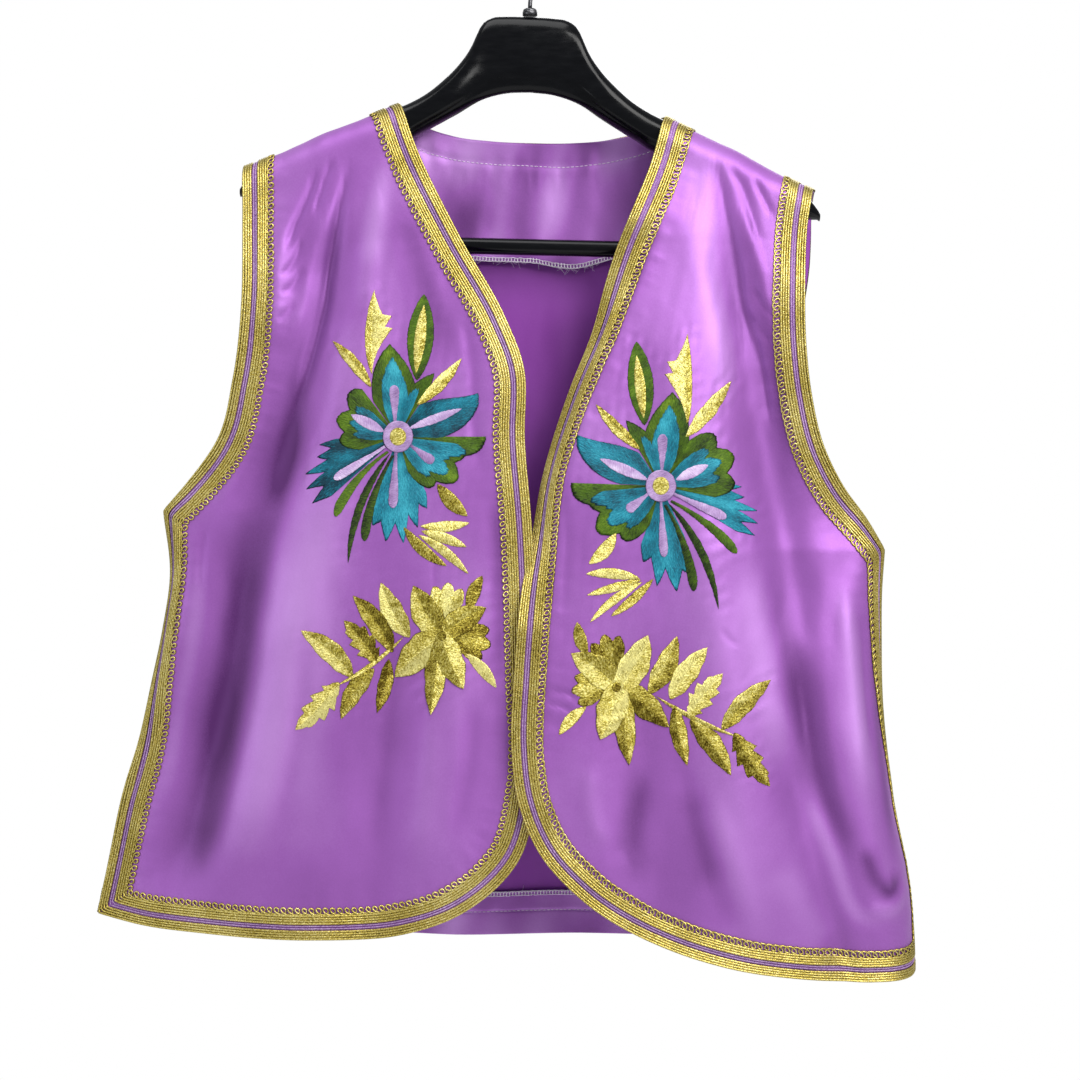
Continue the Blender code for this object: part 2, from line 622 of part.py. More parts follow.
def make_hanger_body(collection, material):
    """A loft of oval sections across the hanger, each as tall as the hanger is there."""
    half = [0, 14, 26, 33, 36, 40, 45, 54, 65, 77, 90, 104, 122, 140, 158, 176, 192, 204, 213, HANGER_REACH]
    across = np.array([-x for x in half[:0:-1]] + half, float)
    top, bottom = hanger_top(across), hanger_underside(across)
    end = np.sqrt(np.clip(1 - ((np.abs(across) - 196.0).clip(0) / (HANGER_REACH - 194.0)) ** 2, 0.05, 1))
    neck = 0.72 + 0.28 * ease((np.abs(across) - 30.0) / 30.0)
    middle, height = (top + bottom) / 2, (top - bottom) / 2 * end
    height, depth = height.clip(3.0), (HANGER_HALF_DEPTH * end * neck).clip(3.0)
    middle = np.where(end < 1, top - height, middle)
    angle = np.linspace(0, 2 * math.pi, 14, endpoint=False) + math.pi / 2
    rings = np.stack(
        [
            np.repeat(across[:, None], len(angle), axis=1),
            depth[:, None] * np.cos(angle),
            middle[:, None] + height[:, None] * np.sin(angle),
        ],
        axis=2,
    )
    count, sides = rings.shape[:2]
    faces = [list(range(sides))[::-1], [(count - 1) * sides + k for k in range(sides)]]
    for i in range(count - 1):
        for k in range(sides):
            a, b = i * sides + k, i * sides + (k + 1) % sides
            faces.append([a, b, b + sides, a + sides])
    place(mesh_object("hanger_body", rings.reshape(-1, 3), faces, collection), material)


def wire(name, points, radius, resolution, collection, material):
    """A round wire along the points, with flat ends."""
    data = bpy.data.curves.new(name, "CURVE")
    data.dimensions = "3D"
    data.bevel_depth, data.bevel_resolution, data.use_fill_caps = radius * MM, resolution, True
    spline = data.splines.new("POLY")
    spline.points.add(len(points) - 1)
    for target, point in zip(spline.points, points):
        target.co = (*(np.array(point) * MM), 1.0)
    obj = bpy.data.objects.new(name, data)
    collection.objects.link(obj)
    place(obj, material)


def make_trouser_bar(collection, material):
    """The rod under the arms, turned up at each end to meet the underside of the arm."""
    bend, turns = 16.0, np.radians([90, 68, 45, 22, 0])
    points = []
    for sign in (-1, 1):
        top = float(hanger_underside(np.array([sign * BAR_REACH]))[0]) - BAR_TOP_DROP
        low = BAR_UP - HANGER_TILT * sign * BAR_REACH * 0.5
        out = BAR_REACH - bend
        corner = [(sign * (out + bend * math.sin(t)), 0.0, low + bend - bend * math.cos(t)) for t in turns]
        end = [(sign * BAR_REACH, 0.0, top), *corner]
        points += end if sign < 0 else end[::-1]
    wire("hanger_bar", points, BAR_RADIUS, 3, collection, material)


def make_hook(collection, material):
    """A wire that rises from the ferrule, swings out and turns over to the other side."""
    radius = HOOK_INNER_RADIUS + HOOK_WIRE_RADIUS
    join = math.radians(-58)
    turn = np.radians(np.linspace(-58, 205, 18))
    arc = np.stack([radius * np.cos(turn), 0 * turn, radius * np.sin(turn) - HOOK_INNER_RADIUS], axis=1)
    start, first = np.array([0.0, 0.0, FERRULE_TOP + SEAM_GAP]), arc[0]
    lean = np.array([-math.sin(join), 0.0, math.cos(join)])
    t = np.linspace(0, 1, 7)[:-1, None]
    one, two = start + [0, 0, 13.0], first - lean * 9.0
    stem = start * (1 - t) ** 3 + 3 * one * t * (1 - t) ** 2 + 3 * two * t**2 * (1 - t) + first * t**3
    wire("hanger_hook", np.concatenate([stem, arc]), HOOK_WIRE_RADIUS, 2, collection, material)


def make_ferrule(collection, material):
    """The domed collar that the hook stands in."""
    height = FERRULE_TOP - FERRULE_BOTTOM
    bpy.ops.mesh.primitive_cylinder_add(
        vertices=20,
        radius=FERRULE_RADIUS * MM,
        depth=height * MM,
        location=(0, 0, (FERRULE_TOP + FERRULE_BOTTOM) / 2 * MM),
    )
    obj = bpy.context.object
    obj.name = obj.data.name = "hanger_ferrule"
    for other in list(obj.users_collection):
        other.objects.unlink(obj)
    collection.objects.link(obj)
    dome = obj.modifiers.new("dome", "BEVEL")
    dome.width, dome.segments, dome.limit_method = 2.2 * MM, 2, "ANGLE"
    place(obj, material)


def finish(name, colour, roughness, metallic):
    material = bpy.data.materials.new(name)
    material.use_nodes = True
    shader = material.node_tree.nodes["Principled BSDF"]
    shader.inputs["Base Color"].default_value = (*colour, 1.0)
    shader.inputs["Roughness"].default_value = roughness
    shader.inputs["Metallic"].default_value = metallic
    return material


def main():
    for obj in list(bpy.data.objects):
        bpy.data.objects.remove(obj)
    collection = bpy.data.collections.new(OBJECT_NAME)
    bpy.context.scene.collection.children.link(collection)
    looks = {
        "satin": finish("satin", (0.33, 0.10, 0.45), 0.35, 0.0),
        "gold_braid": finish("gold_braid", (0.55, 0.42, 0.08), 0.45, 0.6),
        "satin_facing": finish("satin_facing", (0.30, 0.09, 0.41), 0.35, 0.0),
        "hanger_plastic": finish("hanger_plastic", (0.01, 0.01, 0.012), 0.22, 0.0),
        "hook_steel": finish("hook_steel", (0.10, 0.10, 0.11), 0.35, 1.0),
    }
    left, left_ups = front_flat(FRONT_LEFT_OUTER, BACK_LEFT_OUTER, FRONT_LEFT_EDGE, NECK_AT_LEFT)
    right, right_ups = front_flat(FRONT_RIGHT_OUTER, BACK_RIGHT_OUTER, FRONT_RIGHT_EDGE, NECK_AT_RIGHT)
    left = left._replace(regions={"braid_front_left": left.regions["braid"]})
    right = right._replace(regions={"braid_front_right": right.regions["braid"]})

    def left_drape(flat):
        return drape_front(FRONT_LEFT_OUTER, LEFT_DEPTH, FRONT_LEFT_FOLDS, flat)

    def right_drape(flat):
        return drape_front(FRONT_RIGHT_OUTER, RIGHT_DEPTH, FRONT_RIGHT_FOLDS, flat)

    drape_panel("front_left", left, left_drape, True, collection, looks)
    drape_panel("front_right", right, right_drape, True, collection, looks)
    drape_panel("back", back_flat(left_ups, right_ups), drape_back, False, collection, looks)
    make_hanger_body(collection, looks["hanger_plastic"])
    make_trouser_bar(collection, looks["hanger_plastic"])
    make_ferrule(collection, looks["hook_steel"])
    make_hook(collection, looks["hook_steel"])


main()
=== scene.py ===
"""The looks of an embroidered satin waistcoat on a suit hanger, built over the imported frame.

Lengths are in millimetres until a mesh is made, which is in metres. +X is the viewer's right, the fronts face
-Y, +Z is up, and the origin is the inside top of the hanger's hook. Left and right are as seen from the front.

Each panel is a flat cut, measured across and up, and a drape that carries any flat place to where the cloth
hangs. Braid, stitches and embroidery are drawn on the flat cut and carried by the same drape.
"""

import logging
import math
from dataclasses import dataclass, field
from enum import Enum

import bpy
import numpy as np
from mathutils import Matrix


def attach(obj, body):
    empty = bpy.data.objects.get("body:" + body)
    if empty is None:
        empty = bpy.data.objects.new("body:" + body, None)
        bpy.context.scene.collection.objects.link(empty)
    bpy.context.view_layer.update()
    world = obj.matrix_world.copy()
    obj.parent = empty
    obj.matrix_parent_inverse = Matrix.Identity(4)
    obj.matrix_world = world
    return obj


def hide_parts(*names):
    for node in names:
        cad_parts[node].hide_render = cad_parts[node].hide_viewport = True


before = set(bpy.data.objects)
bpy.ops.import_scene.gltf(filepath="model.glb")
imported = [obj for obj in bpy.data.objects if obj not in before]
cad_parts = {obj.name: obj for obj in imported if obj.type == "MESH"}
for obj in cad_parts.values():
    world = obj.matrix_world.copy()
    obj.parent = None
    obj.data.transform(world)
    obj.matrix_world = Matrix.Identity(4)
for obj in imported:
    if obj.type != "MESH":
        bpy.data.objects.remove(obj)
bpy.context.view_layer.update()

Array = np.ndarray
Pair = tuple[float, float]
Colour = tuple[float, float, float]
log = logging.getLogger("waistcoat")

MM = 0.001
CLOTH, FACING = 1.2, 0.7  # walls of the visible shells
SOLID_WALL = 2.0
SEAM_TRIM = 0.3  # how far each panel stops short of a seam line
MITRE = 1.3  # room for the walls where two panels meet at an angle
SEAM_POINTS, EDGE_POINTS = 140, 300
BULGE_REACH, FOLD_REACH, PLUMB_REACH = 190.0, 26.0, 70.0  # from the roll, from the roll, and below the shoulder
TUBE_MAP = 10.0  # millimetres along a tube to one unit of its map
HEM_FACING_DEPTH = 33.0
FACING_CLEARANCE = 1.9
STITCH_UNDERSIDE = -0.5  # where stitched shapes close, inside the cloth
SHOULDER_RADIUS = 21.0
SHOULDER_REST = 1.8  # from the cloth's middle to the top of the hanger's arm
HANGER_TILT = 0.042  # the hanger hangs lower at the right
PIXEL = 0.73  # millimetres to a pixel of the picture at SCALE_DISTANCE
SCALE_DISTANCE, FRONT_DISTANCE = 1600.0, 1605.0
PICTURE_MIDDLE = 540.0
CAMERA = (7.53, -1650.0, -460.6)
FIELD_OF_VIEW = 27.7
NECK_AT_LEFT, NECK_AT_RIGHT = -100.0, 103.0

SHOULDER = ((0, -138.4), (100, -138.4), (125, -149.4), (155, -162.0), (190, -179.5), (220, -192.3))
FRONT_LEFT_EDGE = (
    (-87, -163), (-52, -236), (-19, -295), (-5, -332), (-4, -387), (1, -449), (5, -560), (6, -640), (-10, -698),
    (-50, -734), (-96, -750), (-160, -753.5), (-240, -751), (-290, -747.5),
)
FRONT_RIGHT_EDGE = (
    (92, -175), (66, -241), (50, -298), (30, -352), (11, -413), (-1, -476), (-11, -560), (-13, -612), (-8, -652),
    (8, -690), (34, -719), (78, -749), (138, -771), (212, -784), (262, -787), (290, -785),
)
BACK_NECK = ((-84, -143), (-60, -151.5), (-30, -155.5), (0, -157), (32, -157), (64, -154), (88, -147.5))
BACK_HEM = ((240, -772), (150, -768), (60, -764.5), (-40, -765), (-150, -761), (-250, -752))
NECK_FACING_EDGE = ((-114, -236), (-38, -247), (0, -248.5), (34, -253), (62, -246), (117, -233))

# An outer edge at one height: up, across, depth, and the radius and turn of the cloth's roll beside it
LEFT_ARMHOLE = (
    (-439, -274, -2, 18, 70), (-420, -257, -8, 14, 50), (-388, -233, -16, 10, 35), (-342, -220, -22, 8, 25),
    (-283, -213, -24, 8, 25), (-223, -213, -22, 8, 25), (-165, -214, -21, 8, 20),
)
LEFT_SIDE = (
    (-741, -327, 0, 6, 20), (-700, -318, 0, 7, 28), (-653, -307, 0, 10, 42), (-610, -293, 0, 15, 60),
    (-567, -283, 0, 20, 75), (-530, -275, 0, 22, 84), (-485, -269, 0, 22, 84), (-439, -274, -2, 18, 70),
)
RIGHT_ARMHOLE = (
    (-468, 265, -2, 26, 75), (-444, 250, -8, 16, 60), (-423, 234, -15, 12, 45), (-397, 220, -20, 10, 35),
    (-352, 208, -25, 8, 25), (-319, 204, -27, 8, 25), (-271, 203, -27, 8, 25), (-225, 206, -24, 8, 25),
    (-180, 214, -21, 8, 20),
)
RIGHT_SIDE = (
    (-778, 288, 12, 30, 112), (-723, 284, 14, 36, 118), (-653, 271, 12, 38, 112), (-588, 264, 6, 40, 95),
    (-536, 263, 2, 40, 82), (-500, 263, 0, 34, 78), (-468, 265, -2, 26, 75),
)
BACK_LEFT_ARMHOLE = (
    (-415, -246, 8, 12, 60), (-380, -223, 18, 9, 35), (-330, -209, 25, 8, 25), (-270, -209, 26, 8, 25),
    (-215, -213, 23, 8, 25), (-165, -214, 21, 8, 20),
)
BACK_RIGHT_ARMHOLE = (
    (-440, 243, 8, 12, 60), (-400, 221, 19, 9, 35), (-352, 208, 26, 8, 25), (-300, 207, 28, 8, 25),
    (-250, 213, 26, 8, 25), (-180, 214, 21, 8, 20),
)

# How far the middle of each panel stands forwards (below 0) or back (above 0), by height
LEFT_DEPTH = ((-240, -27), (-340, -34), (-450, -38), (-600, -42), (-760, -46))
RIGHT_DEPTH = ((-240, -31), (-340, -41), (-450, -47), (-600, -51), (-790, -56))
BACK_DEPTH = ((-240, 29), (-400, 35), (-600, 41), (-780, 45))

# The solids' own folds: three (across, up) places, width, and drop into the body
FRONT_LEFT_FOLDS = (
    ((-140, -205), (-168, -340), (-208, -450), 22, 8), ((-212, -440), (-222, -560), (-266, -735), 20, 7),
    ((-112, -215), (-160, -470), (-236, -760), 27, -7), ((-92, -500), (-104, -620), (-125, -780), 24, 4.5),
    ((-52, -470), (-62, -600), (-66, -740), 26, -4), ((-182, -175), (-190, -250), (-196, -320), 14, -4),
)
FRONT_RIGHT_FOLDS = (
    ((134, -185), (168, -350), (206, -560), 19, 8), ((196, -530), (222, -640), (262, -770), 15, 9),
    ((180, -585), (206, -680), (238, -800), 13, 6), ((222, -560), (246, -660), (262, -760), 16, -7),
    ((104, -250), (134, -480), (168, -800), 28, -7), ((70, -500), (84, -640), (98, -800), 24, 5),
)
BACK_FOLDS = (
    ((-150, -215), (-172, -420), (-224, -790), 26, 7), ((-104, -300), (-118, -540), (-140, -800), 28, -7),
    ((-62, -430), (-52, -600), (-58, -800), 24, 6), ((14, -360), (10, -560), (22, -800), 30, -5),
    ((148, -225), (168, -420), (196, -790), 25, 8), ((96, -300), (112, -540), (122, -800), 27, -6),
    ((226, -520), (238, -640), (246, -800), 18, -6),
)


# Rows, curves and flat outlines


def through(rows: tuple | list, at: Array) -> Array:
    """Reads a table as a smooth function.

    Args:
        rows: (place, value) pairs.
        at: the places to read.

    Returns:
        The cubic through the values, h = (1+2t)(1-t)^2 a + t^2(3-2t) b plus its slopes' parts, at each place.
    """
    table = np.array(sorted((float(a), float(b)) for a, b in rows))
    xs, ys = table[:, 0], table[:, 1]
    slopes = np.gradient(ys, xs)
    x = np.clip(at, xs[0], xs[-1])
    i = np.clip(np.searchsorted(xs, x) - 1, 0, len(xs) - 2)
    width = xs[i + 1] - xs[i]
    t = (x - xs[i]) / width
    rise = (1 + 2 * t) * (1 - t) ** 2 * ys[i] + t**2 * (3 - 2 * t) * ys[i + 1]
    return rise + width * (t * (1 - t) ** 2 * slopes[i] - t**2 * (1 - t) * slopes[i + 1])


def ease(t: Array) -> Array:
    """0 to 1 with no kink at either end: 3t^2 - 2t^3."""
    t = np.clip(t, 0.0, 1.0)
    return t * t * (3 - 2 * t)


def lengths(line: Array) -> Array:
    """The distance along a line to each of its points."""
    return np.concatenate([[0.0], np.cumsum(np.linalg.norm(np.diff(line, axis=0), axis=1))])


def at_lengths(line: Array, at: Array) -> Array:
    """The points of a line at these distances along it."""
    along = lengths(line)
    return np.stack([np.interp(at, along, line[:, k]) for k in range(line.shape[1])], axis=1)


def read_along(values: Array, along: Array, at: Array) -> Array:
    """Vectors given at distances along a line, read at others."""
    return np.stack([np.interp(at, along, values[:, k]) for k in range(values.shape[1])], axis=1)


def evenly(line: Array, step: float = 1.0) -> Array:
    """The line with a point about every step."""
    total = lengths(line)[-1]
    return at_lengths(line, np.linspace(0, total, max(2, round(total / step) + 1)))


def shared(line: Array, count: int) -> Array:
    """That many points, evenly along the line."""
    return at_lengths(line, np.linspace(0, lengths(line)[-1], count))


def curve(points: tuple | list | Array) -> Array:
    """A smooth line through the points, as close points."""
    points = np.array(points, float)
    chord = lengths(points)
    at = np.linspace(0, chord[-1], 40 * len(points))
    return evenly(np.stack([through(list(zip(chord, points[:, k])), at) for k in range(points.shape[1])], axis=1))


def ripple(x: Array, y: Array, wave: float, seed: int) -> Array:
    """Smooth unevenness of about -1 to 1: a mean of seven sines, whose directions and phases come from the seed."""
    rng = np.random.default_rng(seed)
    total = np.zeros_like(x, dtype=float)
    for turn, size, phase in zip(rng.uniform(0, math.tau, 7), rng.uniform(0.7, 1.7, 7), rng.uniform(0, math.tau, 7)):
        total += np.sin((x * math.cos(turn) + y * math.sin(turn)) * math.tau / (wave * size) + phase)
    return total / 4.2


def inside(polygon: Array, points: Array) -> Array:
    """Whether each point is inside the polygon, by counting the sides to its right."""
    x, y = points[:, 0][:, None], points[:, 1][:, None]
    x0, y0 = polygon[:, 0], polygon[:, 1]
    x1, y1 = np.roll(x0, -1), np.roll(y0, -1)
    spans = (y0 > y) != (y1 > y)
    crossing = x0 + (y - y0) * (x1 - x0) / np.where(y1 == y0, 1e-9, y1 - y0)
    return (spans & (x < crossing)).sum(axis=1) % 2 == 1


def nearest(points: Array, line: Array) -> tuple[Array, Array]:
    """Finds the closest point of a close line, some thousands of points at a time.

    Args:
        points: flat places.
        line: the line's points.

    Returns:
        The distance of each place, and the index of its closest point.
    """
    gaps, which = [], []
    own = (line**2).sum(axis=1)
    for part in np.array_split(points, max(1, len(points) // 4000)):
        square = (part**2).sum(axis=1)[:, None] + own - 2 * part @ line.T
        which.append(square.argmin(axis=1))
        gaps.append(np.sqrt(square[np.arange(len(part)), which[-1]].clip(0)))
    return np.concatenate(gaps), np.concatenate(which)


def inward(line: Array, polygon: Array) -> Array:
    """Unit vectors across a line, to the side where the polygon is."""
    along = np.gradient(line, axis=0)
    across = np.stack([along[:, 1], -along[:, 0]], axis=1) / np.linalg.norm(along, axis=1)[:, None]
    return across if inside(polygon, line + across * 4.0).mean() >= 0.5 else -across


def spot(x: float, y: float) -> Pair:
    """A place on the fronts' cloth from a place in the picture, in its 1080 pixels, through the camera's own view."""
    size = PIXEL * FRONT_DISTANCE / SCALE_DISTANCE
    return (x - PICTURE_MIDDLE) * size + CAMERA[0], CAMERA[2] + (PICTURE_MIDDLE - y) * size


# The drape


def tilted(rows: tuple, across: Array) -> Array:
    """A symmetrical table's height, less the hanger's tilt."""
    return through(rows, np.abs(across)) - HANGER_TILT * across


def shoulder_seam(across: Array) -> Array:
    """How far up the flat cloth the shoulder seam is: a quarter turn round the hanger's arm."""
    return tilted(SHOULDER, across) + (math.pi / 2 - 1) * SHOULDER_RADIUS


@dataclass(frozen=True)
class Outer:
    """An outer edge of a panel: which way is out, its armhole above the underarm corner, and its side below."""

    sign: int
    armhole: tuple
    side: tuple

    def at(self, up: Array) -> tuple[Array, Array, Array, Array]:
        """Reads the edge's tables.

        Args:
            up: heights on the flat cloth.

        Returns:
            Seen place outwards, depth, roll radius, and turn in radians.
        """
        columns = []
        for k in range(1, 5):
            upper = through([(row[0], row[k]) for row in self.armhole], up)
            lower = through([(row[0], row[k]) for row in self.side], up)
            columns.append(np.where(up > self.armhole[0][0], upper, lower))
        return columns[0] * self.sign, columns[1], columns[2], np.radians(columns[3])

    def roll_start(self, up: Array) -> Array:
        """Where the cloth starts to roll away."""
        seen, _, roll, turn = self.at(up)
        return seen - roll * np.sin(np.minimum(turn, math.pi / 2))

    def flat(self, up: Array) -> Array:
        """Where the edge is on the flat cloth: the roll's start plus radius times turn."""
        _, _, roll, turn = self.at(up)
        return self.sign * (self.roll_start(up) + roll * turn)


def seam_side(row: tuple) -> tuple:
    """The back's side of a side seam, which turns the rest of the half circle, or less at a crease."""
    up, across, depth, roll, turned = row
    radius = 11.0 + 0.35 * roll
    turn = min(180.0 - turned, 50.0 + 1.35 * max(0.0, turned - 40.0))
    edge = abs(across) - roll * max(0.0, 1 - math.sin(math.radians(turned))) * (turned > 90)
    reach = edge + radius * (1 - math.sin(math.radians(turn))) * (turn > 90)
    return up, math.copysign(reach, across), depth, radius, turn


FRONT_LEFT_OUTER = Outer(-1, LEFT_ARMHOLE, LEFT_SIDE)
FRONT_RIGHT_OUTER = Outer(1, RIGHT_ARMHOLE, RIGHT_SIDE)
BACK_LEFT_OUTER = Outer(-1, (seam_side(LEFT_SIDE[-1]), *BACK_LEFT_ARMHOLE), tuple(map(seam_side, LEFT_SIDE)))
BACK_RIGHT_OUTER = Outer(1, (seam_side(RIGHT_SIDE[-1]), *BACK_RIGHT_ARMHOLE), tuple(map(seam_side, RIGHT_SIDE)))


def cut_outer(outer: Outer, other: Outer, neck: float) -> tuple[Array, Array, Array]:
    """Cuts the outer half of a panel.

    Args:
        outer: its own edge.
        other: the edge that its side is sewn to, since the trim there is by how the two meet.
        neck: where its shoulder seam starts.

    Returns:
        The shoulder seam outwards, the side upwards, and the armhole from the underarm corner to the seam.
    """
    tip = float(outer.flat(np.array([outer.armhole[-1][0]]))[0])
    across = np.linspace(neck, tip, SEAM_POINTS)
    seam = np.stack([across, shoulder_seam(across) - SEAM_TRIM], axis=1)
    low, under = outer.side[0][0], outer.armhole[0][0]
    up = np.linspace(low, under, EDGE_POINTS)
    meet = outer.at(up)[3] + other.at(up)[3]
    trim = SEAM_TRIM + MITRE * SOLID_WALL / 2 / np.tan(np.minimum(meet, math.pi) / 2)
    side = np.stack([outer.flat(up) - outer.sign * trim, up], axis=1)
    above = np.linspace(under + 3.0, seam[-1][1], EDGE_POINTS)
    arm = np.stack([outer.flat(above), above], axis=1)
    return seam, side, evenly(np.concatenate([side[-1:], arm[:-1], seam[-1:]]))


def fold_drop(folds: tuple, across: Array, up: Array) -> Array:
    """The sum of the solids' folds, drop x fade x exp(-(distance / width)^2), along bent lines."""
    total = np.zeros_like(across)
    for top, middle, low, width, drop in folds:
        line = through([(p[1], p[0]) for p in (top, middle, low)], up)
        along = np.clip((top[1] - up) / (top[1] - low[1]), 0, 1)
        total += drop * ease(along * 4) * ease((1 - along) * 5) * np.exp(-(((across - line) / width) ** 2))
    return total


def rolled(outer: Outer, forwards: int, out: Array, up: Array, middle: Array, folds: Array) -> tuple[Array, Array]:
    """Lays out one half of a panel, whose outer strip rolls away to its edge.

    Args:
        outer: the edge.
        forwards: 1 for a front, which rolls back, and -1 for the back.
        out: places outwards on the flat cloth.
        up: heights.
        middle: how far the panel's middle stands.
        folds: the folds' drop.

    Returns:
        Place outwards start + r sin(a), and depth plane + r (1 - cos(a)), where a is the distance rolled over r.
    """
    _, edge_depth, roll, turn = outer.at(up)
    start = outer.roll_start(up)
    angle = np.clip((out - start) / roll, 0, None)
    by_edge = edge_depth - forwards * roll * (1 - np.cos(turn))
    bulge = np.sin(np.clip((start - out) / BULGE_REACH, 0, 1) * math.pi / 2)
    plane = by_edge + (middle - by_edge) * bulge + forwards * folds * ease((start - out) / FOLD_REACH)
    seen = np.where(angle > 0, start + roll * np.sin(angle), out)
    return seen, plane + forwards * roll * (1 - np.cos(angle))


def over_shoulder(across: Array, up: Array, depth: Array, forwards: int, at_top: Array | float) -> tuple[Array, Array]:
    """Hangs the cloth plumb from the shoulder, and turns what is above that over the hanger's arm.

    Args:
        across: places on the flat cloth.
        up: heights on it.
        depth: depth before the turn.
        forwards: 1 for a front and -1 for the back.
        at_top: the depth that the cloth leaves the shoulder at.

    Returns:
        Height start + r sin(a), and depth + r (1 - cos(a)).
    """
    start = tilted(SHOULDER, across) - SHOULDER_RADIUS
    depth = at_top + (depth - at_top) * ease((start - up) / PLUMB_REACH)
    angle = np.clip((up - start) / SHOULDER_RADIUS, 0, None)
    height = np.where(angle > 0, start + SHOULDER_RADIUS * np.sin(angle), up)
    return height, depth + forwards * SHOULDER_RADIUS * (1 - np.cos(angle))


@dataclass(frozen=True)
class Crease:
    """A soft furrow (drop above 0) or ridge (below 0) along places in the picture, steeper on one side with lean."""

    path: tuple[Pair, ...]
    width: float
    drop: float
    lean: float = 0.0
    ends: float = 4.0
    in_picture: bool = True
    step: float = 2.5
    bank: float = 0.45
    cut_off: float = 3.2

    def depth(self, flat: Array) -> Array:
        """drop x fade x (1 - bank s^2) exp(-s^2), where s is the distance over the width on that side."""
        places = [spot(*p) for p in self.path] if self.in_picture else self.path
        line = evenly(curve(places), self.step)
        reach = self.cut_off * self.width * (1 + abs(self.lean))
        near = ((flat > line.min(axis=0) - reach) & (flat < line.max(axis=0) + reach)).all(axis=1)
        total = np.zeros(len(flat))
        if not near.any():
            return total
        gap, which = nearest(flat[near], line)
        tangent = np.gradient(line, axis=0)[which]
        offset = flat[near] - line[which]
        side = np.sign(tangent[:, 0] * offset[:, 1] - tangent[:, 1] * offset[:, 0])
        s = gap / (self.width * (1 + self.lean * side))
        along = which / (len(line) - 1)
        fade = ease(along * self.ends) * ease((1 - along) * self.ends)
        total[near] = self.drop * fade * (1 - self.bank * s**2) * np.exp(-(s**2))
        return total


class Lattice:
    """A square lattice over a flat panel, whose values are read between its points."""

    def __init__(self, outline: Array, pitch: float = 3.0) -> None:
        """Spans the outline with a margin of a few pitches."""
        self.low, self.pitch = outline.min(axis=0) - 4 * pitch, pitch
        count = np.ceil((outline.max(axis=0) + 4 * pitch - self.low) / pitch).astype(int) + 1
        self.shape = (count[1], count[0])
        rows, columns = np.mgrid[0 : count[1], 0 : count[0]]
        self.points = np.stack([columns.ravel(), rows.ravel()], axis=1) * pitch + self.low

    def read(self, values: Array, flat: Array) -> Array:
        """Mixes the four values round each place by its distances to them."""
        grid = values.reshape(self.shape)
        place = np.clip((flat - self.low) / self.pitch, 0, np.array(self.shape)[::-1] - 1.001)
        j, i = place.astype(int).T
        x, y = (place - place.astype(int)).T
        upper = grid[i, j] * (1 - x) + grid[i, j + 1] * x
        return upper * (1 - y) + (grid[i + 1, j] * (1 - x) + grid[i + 1, j + 1] * x) * y


# Meshes


def quads(rows: int, columns: int, wrap: bool = False, flip: bool = False) -> Array:
    """Joins a grid's points into quads.

    Args:
        rows: points down the grid.
        columns: points across it.
        wrap: whether its last column joins its first.
        flip: turns the faces over.

    Returns:
        Four indices a face, row by row.
    """
    i, j = np.mgrid[0 : rows - 1, 0 : columns - (0 if wrap else 1)]
    right = (j + 1) % columns
    faces = np.stack([i * columns + j, (i + 1) * columns + j, (i + 1) * columns + right, i * columns + right], axis=-1)
    faces = faces.reshape(-1, 4)
    return faces[:, ::-1] if flip else faces


def coons(top: Array, bottom: Array, left: Array, right: Array) -> Array:
    """Fills four edges: (1-v) top + v bottom + (1-u) left + u right, less the bilinear surface of the corners."""
    u = np.linspace(0, 1, len(top))[None, :, None]
    v = np.linspace(0, 1, len(left))[:, None, None]
    ruled = (1 - v) * top[None] + v * bottom[None] + (1 - u) * left[:, None] + u * right[:, None]
    return ruled - (1 - v) * ((1 - u) * top[0] + u * top[-1]) - v * ((1 - u) * bottom[0] + u * bottom[-1])


